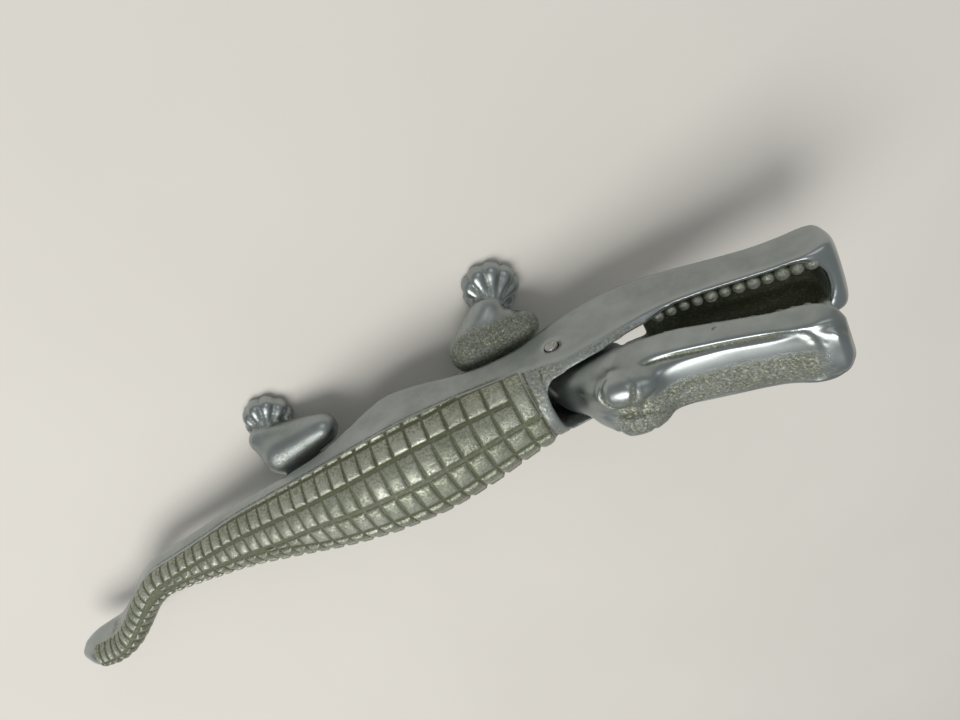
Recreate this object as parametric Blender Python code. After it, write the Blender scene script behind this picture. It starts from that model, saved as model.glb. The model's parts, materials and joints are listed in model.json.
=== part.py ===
"""Crocodile lever nutcracker: two cast aluminium levers that cross at one riveted steel pin.

The tail lever is the scuted back, the tail and the lower jaw in one casting, hollow underneath.
The leg lever is the head with the upper jaw, the neck that passes between the side walls at the
pin, the belly bar inside the back and the four legs that it all stands on.

Sizes are in millimetres, measured from the pin's axis: X towards the snout, Y to the crocodile's
left, Z up. Every casting's origin lies on the pin's axis, so the tail lever turns about its own
origin. The assembled part stands on the plane Z = 0 with the middle of its length and width over
the origin.
"""

import math

import bmesh
import bpy
import numpy as np
from mathutils import Vector

MM = 0.001

# Overall layout
PIN_HEIGHT = 32.0
JAW_REACH = 79.0
BODY_REACH = 99.0
TAIL_REACH = 190.0
WALL = 3.0
SIDE_GAP = 0.4
SEAT_GAP = 0.35

# Back and tail
BACK_HALF_WIDTH = 16.0
COLLAR_HALF_WIDTH = 12.2
COLLAR_RISE = 12.0
COLLAR_BACK = -10.0
TAIL_HALF_WIDTH = 4.1
TAIL_TIP_ROUND = 4.5
TAIL_SWAY = 14.0
SWAY_START = 0.5
SWAY_END = 0.835
HOLLOW_MARGIN = 1.0
HEM_ROUND = 1.3

# Scutes
ROWS = 7
SCUTE_FRONT_PITCH = 7.0
SCUTE_REAR_PITCH = 2.4
SCUTE_HEIGHT = 0.9
RING_GROOVE = 0.45
ROW_GROOVE = 0.85
SCUTE_BEVEL = 0.5
SCUTE_MARGIN = 6.0

# Lower jaw
JAW_HALF_WIDTH = 11.6
JAW_FLOOR = 4.0
SLOT_FRONT = 27.0
VISOR = 7.8
TOOTH_RADIUS = 1.5
TEETH_PER_SIDE = 11

# Head and upper jaw, along the pitched snout
HEAD_PITCH = math.radians(29.0)
HEAD_BACK = 9.5
SNOUT_REACH = 77.4
SNOUT_HALF_WIDTH = 11.0
PALATE_DEPTH = 4.0
EYE_RADIUS = 5.2
EYE_ALONG = 21.5
BROW_REACH = 12.0
NOSTRIL_RADIUS = 2.3

# Neck and belly bar
BOSS_RADIUS = 7.4
BELLY_HALF_WIDTH = 8.0
BELLY_TOP = -11.0
BELLY_BOTTOM = -20.0
BELLY_MARGIN = 3.0
CASTING_EDGE = 0.6

# Legs: stations along X, distance out from the middle, height above the ground, radius
LIMB_SINK = 1.5
LIMB_CLEARANCE = 2.6
SHOULDER_X = -4.5
SHOULDER_RADIUS = 5.2
ELBOW_X = -22.5
ELBOW_RADIUS = 6.6
WRIST_RADIUS = 5.2
HIP_RADIUS = 7.2
KNEE_RADIUS = 5.0
HEEL_RADIUS = 4.4
FRONT_FOOT = (-7.6, 24.0)
FRONT_FOOT_RADIUS = 9.2
REAR_FOOT = (-90.0, 22.5)
REAR_FOOT_RADIUS = 8.0
RIGHT_REAR_STRIDE = 5.5
RIGHT_REAR_SPLAY = 8.0
FOOT_HEIGHT = 9.6
FOOT_TURN = math.radians(30.0)
TOES = 5
TOE_FAN = math.radians(205.0)
TOE_GROOVE = 0.17
SOLE_TRIM = 0.6

# Rivet
PIN_RADIUS = 2.0
PIN_GAP = 0.2
PIN_PROUD = 0.35

NECK_HALF_WIDTH = COLLAR_HALF_WIDTH - WALL - SIDE_GAP
BELLY_REACH = BODY_REACH - BELLY_MARGIN
HOLLOW_REACH = BODY_REACH + HOLLOW_MARGIN
SCUTE_END = TAIL_REACH - SCUTE_MARGIN
FAR_BELOW = -2.0 * PIN_HEIGHT
FAR_ABOVE = JAW_REACH


def curve(points):
    """A smooth function through (position, value) pairs: cubic pieces with Catmull-Rom slopes."""
    xs = np.array([p[0] for p in points], float)
    ys = np.array([p[1] for p in points], float)
    slopes = np.gradient(ys, xs)

    def value(x):
        x = min(max(x, xs[0]), xs[-1])
        i = min(int(np.searchsorted(xs, x, side="right")) - 1, len(xs) - 2)
        step = xs[i + 1] - xs[i]
        t = (x - xs[i]) / step
        near = (1 + 2 * t) * (1 - t) ** 2 * ys[i] + t * (1 - t) ** 2 * step * slopes[i]
        far = t * t * (3 - 2 * t) * ys[i + 1] + t * t * (t - 1) * step * slopes[i + 1]
        return float(near + far)

    return value


def blend(start, end, x):
    """Zero before start, one after end, and a smooth step between them."""
    t = min(max((x - start) / (end - start), 0.0), 1.0)
    return t * t * (3 - 2 * t)


def body(share):
    """X of a station between the pin (0) and the end of the body behind the rear legs (1)."""
    return -share * BODY_REACH


def tail(share):
    """X of a station between the end of the body (0) and the tip of the tail (1)."""
    return -BODY_REACH - share * (TAIL_REACH - BODY_REACH)


def jaw(share):
    """X of a station between the pin (0) and the tip of the lower jaw (1)."""
    return share * JAW_REACH


def swell(share):
    """A half width between the tail's (0) and the back's (1)."""
    return TAIL_HALF_WIDTH + share * (BACK_HALF_WIDTH - TAIL_HALF_WIDTH)


# Profiles of the tail lever along X, with heights above the pin

half_width = curve(
    [
        (tail(1), 0.12 * TAIL_HALF_WIDTH),
        (tail(1) + 0.27 * TAIL_TIP_ROUND, 0.55 * TAIL_HALF_WIDTH),
        (tail(1) + TAIL_TIP_ROUND, 0.9 * TAIL_HALF_WIDTH),
        (tail(1) + 2.6 * TAIL_TIP_ROUND, TAIL_HALF_WIDTH),
        (tail(0.54), swell(0.05)),
        (tail(0.32), swell(0.22)),
        (tail(0.14), swell(0.43)),
        (body(1), swell(0.58)),
        (body(0.86), swell(0.76)),
        (body(0.67), swell(0.93)),
        (body(0.5), BACK_HALF_WIDTH),
        (body(0.32), 0.35 * COLLAR_HALF_WIDTH + 0.65 * BACK_HALF_WIDTH),
        (body(0.17), 0.87 * COLLAR_HALF_WIDTH + 0.13 * BACK_HALF_WIDTH),
        (COLLAR_BACK, COLLAR_HALF_WIDTH),
        (0, COLLAR_HALF_WIDTH - 0.1),
        (jaw(0.25), JAW_HALF_WIDTH + 0.2),
        (jaw(0.53), JAW_HALF_WIDTH),
        (jaw(0.76), 0.95 * JAW_HALF_WIDTH),
        (JAW_REACH - 10, 0.95 * JAW_HALF_WIDTH),
        (JAW_REACH - 4.5, 0.92 * JAW_HALF_WIDTH),
        (JAW_REACH - 1.3, 0.74 * JAW_HALF_WIDTH),
        (JAW_REACH, 0.42 * JAW_HALF_WIDTH),
    ]
)
ridge_height = curve(
    [
        (tail(1), -14.5),
        (tail(1) + TAIL_TIP_ROUND, -12.8),
        (tail(0.67), -12.0),
        (tail(0.48), -11.5),
        (tail(0.32), -10.5),
        (tail(0.14), -8.8),
        (body(1), -6.2),
        (body(0.86), -3.0),
        (body(0.67), 0.0),
        (body(0.5), 1.5),
        (body(0.32), 2.3),
        (body(0.17), 2.8),
        (COLLAR_BACK, 3.2),
        (-5, 4.8),
        (1, 6.8),
        (jaw(0.13), 7.2),
        (jaw(0.25), 6.9),
        (jaw(0.39), 8.0),
        (jaw(0.53), 11.2),
        (jaw(0.66), 14.8),
        (jaw(0.8), 18.4),
        (JAW_REACH - 7, 20.4),
        (JAW_REACH - 2.5, 19.6),
        (JAW_REACH, 15.2),
    ]
)
arch_rise = curve(
    [
        (tail(1), 0.6),
        (tail(1) + TAIL_TIP_ROUND, 0.9 * TAIL_HALF_WIDTH),
        (tail(0.67), 1.3 * TAIL_HALF_WIDTH),
        (tail(0.48), 1.45 * TAIL_HALF_WIDTH),
        (tail(0.32), swell(0.26)),
        (tail(0.14), swell(0.41)),
        (body(1), swell(0.56)),
        (body(0.67), swell(0.92)),
        (body(0.5), BACK_HALF_WIDTH),
        (body(0.32), BACK_HALF_WIDTH - 1.6),
        (body(0.17), COLLAR_RISE + 0.6),
        (COLLAR_BACK, COLLAR_RISE),
        (-5, 0.84 * COLLAR_RISE),
        (1, 0.55 * COLLAR_RISE),
        (jaw(0.13), 5.6),
        (jaw(0.25), 4.8),
        (jaw(0.39), 2.4),
        (jaw(0.53), 1.0),
        (jaw(0.8), 0.6),
        (JAW_REACH - 7, 1.4),
        (JAW_REACH - 2.5, 1.6),
        (JAW_REACH, 0.6),
    ]
)
hem_height = curve(
    [
        (tail(1), -17.0),
        (tail(1) + TAIL_TIP_ROUND, -19.2),
        (tail(0.67), -19.6),
        (tail(0.48), -19.0),
        (tail(0.32), -17.4),
        (tail(0.14), -15.4),
        (body(1), -12.6),
        (body(0.89), -10.2),
        (body(0.77), -9.2),
        (body(0.67), -12.0),
        (body(0.53), -16.0),
        (body(0.4), -13.0),
        (body(0.3), -9.6),
        (body(0.17), -8.2),
        (-8, -8.8),
        (0, -11.2),
        (jaw(0.13), -12.8),
        (jaw(0.25), -12.9),
        (jaw(0.39), -10.3),
        (jaw(0.53), -4.8),
        (jaw(0.66), 1.0),
        (jaw(0.8), 5.8),
        (JAW_REACH - 6, 7.8),
        (JAW_REACH - 2.5, 8.6),
        (JAW_REACH, 10.8),
    ]
)
outer_row_share = curve(
    [
        (tail(0.54), 0.3),
        (tail(0.4), 0.2),
        (tail(0.14), 0.15),
        (body(0.89), 0.09),
        (body(0.78), 0.1),
        (body(0.67), 0.19),
        (body(0.3), 0.2),
        (body(0.26), 0.04),
        (COLLAR_BACK, 0.03),
    ]
)
middle_row_share = curve(
    [
        (tail(0.65), 0.97),
        (tail(0.54), 0.83),
        (tail(0.4), 0.67),
        (tail(0.14), 0.57),
        (body(0.96), 0.52),
        (body(0.8), 0.49),
        (COLLAR_BACK, 0.49),
    ]
)
spine_row_share = curve(
    [
        (tail(0.65), 0.99),
        (tail(0.14), 0.965),
        (tail(0.01), 0.93),
        (body(0.89), 0.85),
        (body(0.7), 0.83),
        (COLLAR_BACK, 0.83),
    ]
)


def sway(x):
    """The tail's sideways swing: how far its middle lies to the right at this X."""
    return -TAIL_SWAY * blend(-tail(SWAY_START), -tail(SWAY_END), -x)


def heading(x):
    """The tail's direction in plan, in radians."""
    return math.atan2(sway(x + 0.5) - sway(x - 0.5), 1.0)


def row_lines(x):
    """The eight angles round the arch between which the seven rows of scutes lie."""
    shares = (0.0, outer_row_share(x), middle_row_share(x), spine_row_share(x))
    near = [share * math.pi / 2 for share in shares]
    return near + [math.pi - angle for angle in reversed(near)]


def shell_ring(x):
    """One closed section of the tail lever's outside, from the middle underneath and round."""
    width = half_width(x)
    ridge = ridge_height(x)
    rise = arch_rise(x)
    hem = hem_height(x)
    corner = min(HEM_ROUND, 0.4 * width, 0.4 * (ridge - hem))
    near = [
        (width - corner, hem),
        (width - 0.3 * corner, hem + 0.3 * corner),
        (width, hem + corner),
        (width, 0.5 * (hem + corner + ridge)),
    ]
    arch = [(width * math.cos(a), ridge + rise * math.sin(a)) for a in row_lines(x)]
    far = [(-y, z) for y, z in reversed(near)]
    turn = heading(x)
    return [
        Vector((x - y * math.sin(turn), sway(x) + y * math.cos(turn), z))
        for y, z in [(0.0, hem)] + near + arch + far
    ]


def scute_lines():
    """Where the ring grooves lie, from the collar back, with a pitch that shrinks to the tail."""
    lines = [COLLAR_BACK]
    while -lines[-1] < SCUTE_END:
        done = (-lines[-1] + COLLAR_BACK) / (SCUTE_END + COLLAR_BACK)
        shrink = min(1.0, done ** 0.8)
        lines.append(lines[-1] - SCUTE_FRONT_PITCH - (SCUTE_REAR_PITCH - SCUTE_FRONT_PITCH) * shrink)
    return lines


def add_loft(bm, rings):
    """Quads between rings of equal counts, with both ends closed. Returns the quads, strip by strip."""
    rows = [[bm.verts.new(point) for point in ring] for ring in rings]
    count = len(rows[0])
    quads = []
    for a, b in zip(rows, rows[1:]):
        corners = [(a[i], a[(i + 1) % count], b[(i + 1) % count], b[i]) for i in range(count)]
        quads.append([bm.faces.new(four) for four in corners])
    bm.faces.new(list(reversed(rows[0])))
    bm.faces.new(rows[-1])
    return quads


def raise_scute(bm, face):
    """Turns one quad between grooves into a raised plate with sloped sides and a low crown."""
    a, b, c, d = [vert.co.copy() for vert in face.verts]
    along = 0.5 * ((a - d).length + (b - c).length)
    across = 0.5 * ((a - b).length + (d - c).length)
    normal = face.normal.copy()
    outside = list(face.verts)
    bm.faces.remove(face)

    def inner(groove_along, groove_across, lift):
        u = min(groove_along / along, 0.3)
        v = min(groove_across / across, 0.3)
        corners = []
        for s, t in ((u, v), (u, 1 - v), (1 - u, 1 - v), (1 - u, v)):
            point = a.lerp(d, s).lerp(b.lerp(c, s), t)
            corners.append(bm.verts.new(point + normal * lift))
        return corners

    height = min(SCUTE_HEIGHT, 0.22 * along)
    floor = inner(RING_GROOVE * 0.5, ROW_GROOVE * 0.5, 0.0)
    top = inner(RING_GROOVE * 0.5 + SCUTE_BEVEL, ROW_GROOVE * 0.5 + SCUTE_BEVEL, height)
    for outer_ring, inner_ring in ((outside, floor), (floor, top)):
        for i in range(4):
            j = (i + 1) % 4
            bm.faces.new((outer_ring[i], outer_ring[j], inner_ring[j], inner_ring[i]))
    middle = bm.verts.new(sum((vert.co for vert in top), Vector()) / 4 + normal * 0.25 * height)
    for i in range(4):
        bm.faces.new((top[i], top[(i + 1) % 4], middle))


def principled(name, colour, roughness, metallic=1.0):
    material = bpy.data.materials.new(name)
    material.use_nodes = True
    shader = material.node_tree.nodes["Principled BSDF"]
    shader.inputs["Base Color"].default_value = (*colour, 1.0)
    shader.inputs["Roughness"].default_value = roughness
    shader.inputs["Metallic"].default_value = metallic
    return material


def finish_mesh(name, bm, material=None, helper=False):
    """Makes the object from a bmesh in millimetres, with its faces turned outwards."""
    bmesh.ops.triangulate(bm, faces=[face for face in bm.faces if len(face.verts) > 4])
    bmesh.ops.scale(bm, vec=(MM, MM, MM), verts=bm.verts)
    bmesh.ops.recalc_face_normals(bm, faces=bm.faces)
    mesh = bpy.data.meshes.new(name)
    bm.to_mesh(mesh)
    bm.free()
    obj = bpy.data.objects.new(name, mesh)
    bpy.context.scene.collection.objects.link(obj)
    if material:
        mesh.materials.append(material)
    if helper:
        obj.hide_render = True
        obj.display_type = "WIRE"
    return obj


def cut(target, name, cutter, operation="DIFFERENCE", solver="EXACT"):
    modifier = target.modifiers.new(name, "BOOLEAN")
    modifier.operation = operation
    modifier.solver = solver
    modifier.object = cutter
    cutter.parent = target


def loft_object(name, rings, **more):
    bm = bmesh.new()
    add_loft(bm, rings)
    return finish_mesh(name, bm, **more)


def mirrored(half):
    """A closed outline from its half at +Y: the other half follows in reverse."""
    return half + [(-y, z) for y, z in reversed(half) if y]


def limb(name, start, end, start_radius, end_radius, sides=12):
    """A tapered rod with rounded ends between two (x, y, z) points."""
    start = Vector(start)
    end = Vector(end)
    ahead = (end - start).normalized()
    side = ahead.cross(Vector((0, 0, 1))).normalized()
    up = side.cross(ahead)
    rounding = [(math.cos(a), math.sin(a)) for a in (math.radians(70), math.radians(35), 0.0)]
    stops = [(start, -s, c, start_radius) for s, c in [(b, a) for a, b in rounding]]
    stops += [(end, s, c, end_radius) for s, c in [(b, a) for a, b in reversed(rounding)]]
    rings = []
    for centre, shift, share, radius in stops:
        ring = []
        for k in range(sides):
            angle = 2 * math.pi * k / sides
            spoke = side * math.cos(angle) + up * math.sin(angle)
            ring.append(centre + ahead * shift * radius + spoke * share * radius)
        rings.append(ring)
    return loft_object(name, rings, helper=True)


def add_ball(bm, centre, radii, segments=13, rings=8, tilt=0.0):
    """An ellipsoid, turned about Y by tilt radians."""
    made = bmesh.ops.create_uvsphere(bm, u_segments=segments, v_segments=rings, radius=1.0)["verts"]
    for vert in made:
        x = vert.co.x * radii[0]
        y = vert.co.y * radii[1]
        z = vert.co.z * radii[2]
        along = x * math.cos(tilt) - z * math.sin(tilt)
        up = x * math.sin(tilt) + z * math.cos(tilt)
        vert.co = Vector(centre) + Vector((along, y, up))


def add_tooth(bm, centre, radius, tilt=0.0):
    add_ball(bm, centre, (0.85 * radius, radius, 1.3 * radius), segments=7, rings=4, tilt=tilt)


def lathe(name, profile, sides, **more):
    """A closed turned body round the Y axis from (y, radius) pairs."""
    angles = [2 * math.pi * k / sides for k in range(sides)]
    rings = [[Vector((r * math.cos(a), y, r * math.sin(a))) for a in angles] for y, r in profile]
    return loft_object(name, rings, **more)


def build_pin_hole(name):
    reach = 1.5 * COLLAR_HALF_WIDTH
    return lathe(name, [(-reach, PIN_RADIUS + PIN_GAP), (reach, PIN_RADIUS + PIN_GAP)], 24, helper=True)


def build_tail_lever(material):
    """The back shell, tail and lower jaw: one loft with raised scutes, then cut hollow."""
    grooves = scute_lines()
    tip = [tail(1) + share * TAIL_TIP_ROUND for share in (0.0, 0.11, 0.31, 0.67, 1.0)]
    tip = [x for x in tip if x < grooves[-1] - 0.6]
    collar = [COLLAR_BACK + 0.25 * i * -COLLAR_BACK for i in range(1, 4)]
    jaw_end = [JAW_REACH - before for before in (12.0, 8.0, 5.0, 3.0, 1.6, 0.6, 0.0)]
    jaw_steps = 11
    jaw_middle = [i * (jaw_end[0] - 0.5) / jaw_steps for i in range(jaw_steps)]
    stations = tip + list(reversed(grooves)) + collar + jaw_middle + jaw_end
    bm = bmesh.new()
    strips = add_loft(bm, [shell_ring(x) for x in stations])
    bmesh.ops.recalc_face_normals(bm, faces=bm.faces)
    below_arch = 5
    collar_band = 1
    for strip in strips[len(tip) : len(tip) + len(grooves) - 1 - collar_band]:
        for face in strip[below_arch : below_arch + ROWS]:
            a, b, c, d = [vert.co for vert in face.verts]
            if (a - b).length > 3 * ROW_GROOVE and (a - d).length > 3 * RING_GROOVE:
                raise_scute(bm, face)
    lever = finish_mesh("tail_lever", bm, material)
    cut(lever, "hollow", build_hollow())
    cut(lever, "neck_slot", build_neck_slot())
    cut(lever, "mouth", build_mouth_trough())
    cut(lever, "pin_hole", build_pin_hole("lever_pin_hole"))
    cut(lever, "teeth", build_lower_teeth(), "UNION", "MANIFOLD")
    return lever


def build_hollow():
    """The space under the back: the outer section less the wall, open downwards."""
    steps = 16
    rings = []
    for i in range(steps + 1):
        x = -HOLLOW_REACH + i * (HOLLOW_REACH + SLOT_FRONT) / steps
        shrink = 1 - 0.5 * (1 - blend(-HOLLOW_REACH - 1, -HOLLOW_REACH + 14, x))
        behind = min(x, COLLAR_BACK)
        width = (half_width(x) - WALL) * shrink
        roof = (arch_rise(behind) - WALL) * shrink
        ridge = ridge_height(behind) - (1 - shrink) * 8
        angles = [k * math.pi / 8 for k in range(9)]
        arch = [(width * math.cos(a), ridge + roof * math.sin(a)) for a in angles]
        outline = [(width, FAR_BELOW)] + arch + [(-width, FAR_BELOW)]
        rings.append([Vector((x, y, z)) for y, z in outline])
    return loft_object("hollow_cutter", rings, helper=True)


def build_neck_slot():
    """Opens the top between the side walls, with a round end in the collar."""
    width = COLLAR_HALF_WIDTH - WALL
    bulge = 0.5
    half = [(-VISOR, 0.0)]
    for turn in (math.radians(10), math.radians(30), math.radians(50), math.radians(70)):
        half.append((-VISOR * math.cos(turn) ** bulge, width * math.sin(turn) ** bulge))
    half += [(0.0, width), (SLOT_FRONT - 2.0, width), (SLOT_FRONT, width - 2.0)]
    outline = half + [(x, -y) for x, y in reversed(half[1:])]
    rings = [[Vector((x, y, z)) for x, y in outline] for z in (0.0, FAR_ABOVE)]
    return loft_object("neck_slot_cutter", rings, helper=True)


def build_mouth_trough():
    """The lower jaw's trough, open upwards, with a rounded floor."""
    start = SLOT_FRONT - 4.0
    end = JAW_REACH - 2.7 * WALL
    steps = 9
    rings = []
    for i in range(steps + 1):
        x = start + i * (end - start) / steps
        taper = 1.0 - 0.55 * blend(end - 7.0, end + 3.0, x)
        width = (half_width(x) - WALL) * taper
        floor = hem_height(x) + JAW_FLOOR + 3.0 * (1 - taper)
        half = [(width, FAR_ABOVE), (width, floor + 3.5), (width - 2.0, floor + 0.8), (0.35 * width, floor)]
        rings.append([Vector((x, y, z)) for y, z in mirrored(half)])
    return loft_object("mouth_cutter", rings, helper=True)


def build_lower_teeth():
    """Beads along the inside of both rims of the lower jaw, larger towards the tip."""
    bm = bmesh.new()
    start = SLOT_FRONT + 4.0
    end = JAW_REACH - 4.0 * WALL
    for side in (1, -1):
        for i in range(TEETH_PER_SIDE):
            done = i / (TEETH_PER_SIDE - 1)
            x = start + done * (end - start)
            size = TOOTH_RADIUS * (0.8 + 0.45 * done)
            y = side * (half_width(x) - WALL + 0.2)
            add_tooth(bm, (x, y, ridge_height(x) - 0.4 * size), size)
    return finish_mesh("lower_teeth", bm, helper=True)


def head_point(along, across, up):
    """A point of the head: along the pitched snout, to the left, and square to the snout."""
    x = along * math.cos(HEAD_PITCH) - up * math.sin(HEAD_PITCH)
    z = along * math.sin(HEAD_PITCH) + up * math.cos(HEAD_PITCH)
    return Vector((x, across, z))


def snout(share):
    """A station along the snout between the back of the head (0) and the nose (1)."""
    return HEAD_BACK + share * (SNOUT_REACH - HEAD_BACK)


snout_width = curve(
    [
        (snout(0), 0.8 * NECK_HALF_WIDTH),
        (snout(0.04), NECK_HALF_WIDTH - 0.3),
        (snout(0.13), NECK_HALF_WIDTH),
        (snout(0.2), 0.91 * SNOUT_HALF_WIDTH),
        (snout(0.29), SNOUT_HALF_WIDTH - 0.1),
        (snout(0.53), SNOUT_HALF_WIDTH),
        (snout(0.75), SNOUT_HALF_WIDTH - 0.5),
        (SNOUT_REACH - 8, 0.93 * SNOUT_HALF_WIDTH),
        (SNOUT_REACH - 3, 0.84 * SNOUT_HALF_WIDTH),
        (SNOUT_REACH - 1, 0.7 * SNOUT_HALF_WIDTH),
        (SNOUT_REACH, 0.5 * SNOUT_HALF_WIDTH),
    ]
)
snout_top = curve(
    [
        (snout(0), 10.0),
        (snout(0.04), 16.4),
        (snout(0.1), 18.8),
        (snout(0.19), 18.6),
        (snout(0.28), 17.0),
        (snout(0.37), 13.8),
        (snout(0.53), 11.4),
        (snout(0.73), 10.7),
        (SNOUT_REACH - 9, 10.9),
        (SNOUT_REACH - 4, 11.4),
        (SNOUT_REACH - 1, 10.8),
        (SNOUT_REACH, 9.2),
    ]
)
snout_bottom = curve(
    [
        (snout(0), -2.0),
        (snout(0.1), -0.5),
        (snout(0.19), 1.4),
        (snout(0.29), 1.6),
        (snout(0.53), 2.2),
        (snout(0.75), 2.6),
        (SNOUT_REACH - 4, 3.0),
        (SNOUT_REACH, 4.4),
    ]
)
lip_height = curve(
    [
        (snout(0), 5.0),
        (snout(0.13), 9.0),
        (snout(0.25), 10.8),
        (snout(0.37), 10.6),
        (snout(0.73), 9.8),
        (SNOUT_REACH - 6, 10.4),
        (SNOUT_REACH, 8.0),
    ]
)


def head_ring(along):
    """One section of the head: side band, crease above the lip, roof with a shallow middle."""
    width = snout_width(along)
    low = snout_bottom(along)
    lip = lip_height(along)
    top = snout_top(along)
    half = [
        (0.0, low),
        (0.55 * width, low),
        (width - 0.9, low),
        (width, low + 1.0),
        (width - 0.3, 0.5 * (low + lip)),
        (width - 1.2, lip - 0.3),
        (width - 1.9, lip + 0.2),
        (width - 2.7, lip - 0.2),
        (width - 3.2, lip + 0.4 * (top - lip)),
        (0.56 * width, top - 0.25),
        (0.3 * width, top),
        (0.0, top - 0.35),
    ]
    return [head_point(along, y, z) for y, z in mirrored(half)]


def build_leg_lever(material):
    """Head, neck, belly bar and legs, joined into one casting and cut flat at the soles."""
    lever = build_neck_and_belly(material)
    pieces = bpy.data.collections.new("leg_lever_pieces")
    bpy.context.scene.collection.children.link(pieces)
    members = [build_head(), build_upper_teeth(), *build_face()]
    for side in (1, -1):
        members += build_front_leg(side) + build_rear_leg(side)
    for member in members:
        bpy.context.scene.collection.objects.unlink(member)
        pieces.objects.link(member)
        member.parent = lever
    joined = lever.modifiers.new("head_and_legs", "BOOLEAN")
    joined.operation = "UNION"
    joined.solver = "MANIFOLD"
    joined.operand_type = "COLLECTION"
    joined.collection = pieces
    cut(lever, "palate", build_palate())
    cut(lever, "soles", build_sole_cutter())
    cut(lever, "pin_hole", build_pin_hole("neck_pin_hole"))
    return lever


def side_outline():
    """The bar's outline seen from the side: belly end, boss round the pin, neck up to the head."""
    seat_length = 4.0
    outline = [(-BELLY_REACH, BELLY_BOTTOM + 5.0)]
    for x in (-BELLY_REACH, -BELLY_REACH + seat_length, -BELLY_REACH + 2 * seat_length):
        outline.append((x, min(BELLY_TOP, hem_height(x) - SEAT_GAP)))
    outline += [(-30.0, BELLY_TOP), (-17.0, -8.0), (-11.0, -4.5)]
    for k in range(7):
        angle = math.radians(175.0 - k * 15.5)
        outline.append((BOSS_RADIUS * math.cos(angle), BOSS_RADIUS * math.sin(angle)))
    outline += [(2.4, 11.0), (3.2, 16.0), (8.0, 19.0), (17.0, 14.0)]
    outline += [(17.0, 5.0), (12.0, -3.0), (7.0, -8.0)]
    outline += [(0.0, -11.0), (-8.0, -14.5), (-20.0, BELLY_BOTTOM + 0.5), (-30.0, BELLY_BOTTOM)]
    outline += [(-BELLY_REACH + 3 * seat_length, BELLY_BOTTOM)]
    return [Vector(point) for point in outline]


def build_neck_and_belly(material):
    """A flat bar with broken edges, cut to the side outline, wider at the neck than at the belly."""
    outline = side_outline()
    neck_start = COLLAR_BACK - 2.0
    rings = []
    for side, edge in ((-1, CASTING_EDGE), (-1, 0.0), (1, 0.0), (1, CASTING_EDGE)):
        ring = []
        for i, point in enumerate(outline):
            run = (outline[(i + 1) % len(outline)] - outline[i - 1]).normalized()
            inset = point + Vector((run.y, -run.x)) * edge
            width = NECK_HALF_WIDTH if point.x > neck_start else BELLY_HALF_WIDTH
            ring.append(Vector((inset.x, side * (width - CASTING_EDGE + edge), inset.y)))
        rings.append(ring)
    return loft_object("leg_lever", rings, material=material)


def build_head():
    shares = [0.0, 0.02, 0.05, 0.09, 0.14, 0.19, 0.25, 0.31, 0.39, 0.47, 0.56, 0.65, 0.74, 0.82, 0.88, 0.93]
    stations = [snout(share) for share in shares]
    stations += [SNOUT_REACH - 2.4, SNOUT_REACH - 1.0, SNOUT_REACH]
    return loft_object("head_form", [head_ring(along) for along in stations], helper=True)


def build_face():
    """Brow mounds with eye domes on them, and nostril bumps, each a ball sunk into the head."""
    mounds = bmesh.new()
    eyes = bmesh.new()
    nostrils = bmesh.new()
    nostril_along = SNOUT_REACH - 5.5
    for side in (1, -1):
        mound = head_point(EYE_ALONG - 1.0, side * 0.55 * SNOUT_HALF_WIDTH, 15.4)
        add_ball(mounds, mound, (BROW_REACH, 0.42 * BROW_REACH, 0.48 * BROW_REACH), tilt=HEAD_PITCH)
        eye = head_point(EYE_ALONG, side * 0.71 * SNOUT_HALF_WIDTH, 16.6)
        add_ball(eyes, eye, (EYE_RADIUS, 0.8 * EYE_RADIUS, 0.92 * EYE_RADIUS), tilt=HEAD_PITCH)
        nostril = head_point(nostril_along, side * 0.38 * SNOUT_HALF_WIDTH, snout_top(nostril_along) - 0.4)
        shape = (1.2 * NOSTRIL_RADIUS, NOSTRIL_RADIUS, 0.7 * NOSTRIL_RADIUS)
        add_ball(nostrils, nostril, shape, segments=10, rings=7, tilt=HEAD_PITCH)
    return [
        finish_mesh("brow_forms", mounds, helper=True),
        finish_mesh("eye_forms", eyes, helper=True),
        finish_mesh("nostril_forms", nostrils, helper=True),
    ]


def build_upper_teeth():
    bm = bmesh.new()
    start = snout(0.35)
    end = SNOUT_REACH - 8.0
    for side in (1, -1):
        for i in range(TEETH_PER_SIDE):
            done = i / (TEETH_PER_SIDE - 1)
            along = start + done * (end - start)
            size = TOOTH_RADIUS * (0.8 + 0.35 * done)
            y = side * (snout_width(along) - 2.2)
            add_tooth(bm, head_point(along, y, snout_bottom(along) + 0.2), size, tilt=HEAD_PITCH)
    return finish_mesh("upper_teeth", bm, helper=True)


def build_palate():
    """The recess in the roof of the mouth, between the rows of upper teeth."""
    rings = []
    steps = 7
    start = snout(0.3)
    end = SNOUT_REACH - 6.0
    below_teeth = -12.0
    for i in range(steps + 1):
        along = start + i * (end - start) / steps
        ends = 1 - 0.5 * (blend(end - 6.0, end + 2.0, along) + 1 - blend(start - 2.0, start + 6.0, along))
        width = (snout_width(along) - 3.6) * ends
        roof = snout_bottom(along) + PALATE_DEPTH * ends
        half = [(width, below_teeth), (width, roof - 1.5), (0.6 * width, roof)]
        rings.append([head_point(along, y, z) for y, z in mirrored(half)])
    return loft_object("palate_cutter", rings, helper=True)


def paw_spokes():
    """(turn, ridge) round the paw: the fan of toes, where ridge is one on each toe, then the heel."""
    samples = 6
    spokes = []
    for i in range(TOES * samples + 1):
        share = i / (TOES * samples)
        ridge = abs(math.sin(math.pi * TOES * share)) ** 0.7
        spokes.append((TOE_FAN * (share - 0.5), ridge))
    heel = 2 * math.pi - TOE_FAN
    heel_samples = 7
    spokes += [(0.5 * TOE_FAN + heel * k / heel_samples, 0.0) for k in range(1, heel_samples)]
    return spokes


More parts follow.
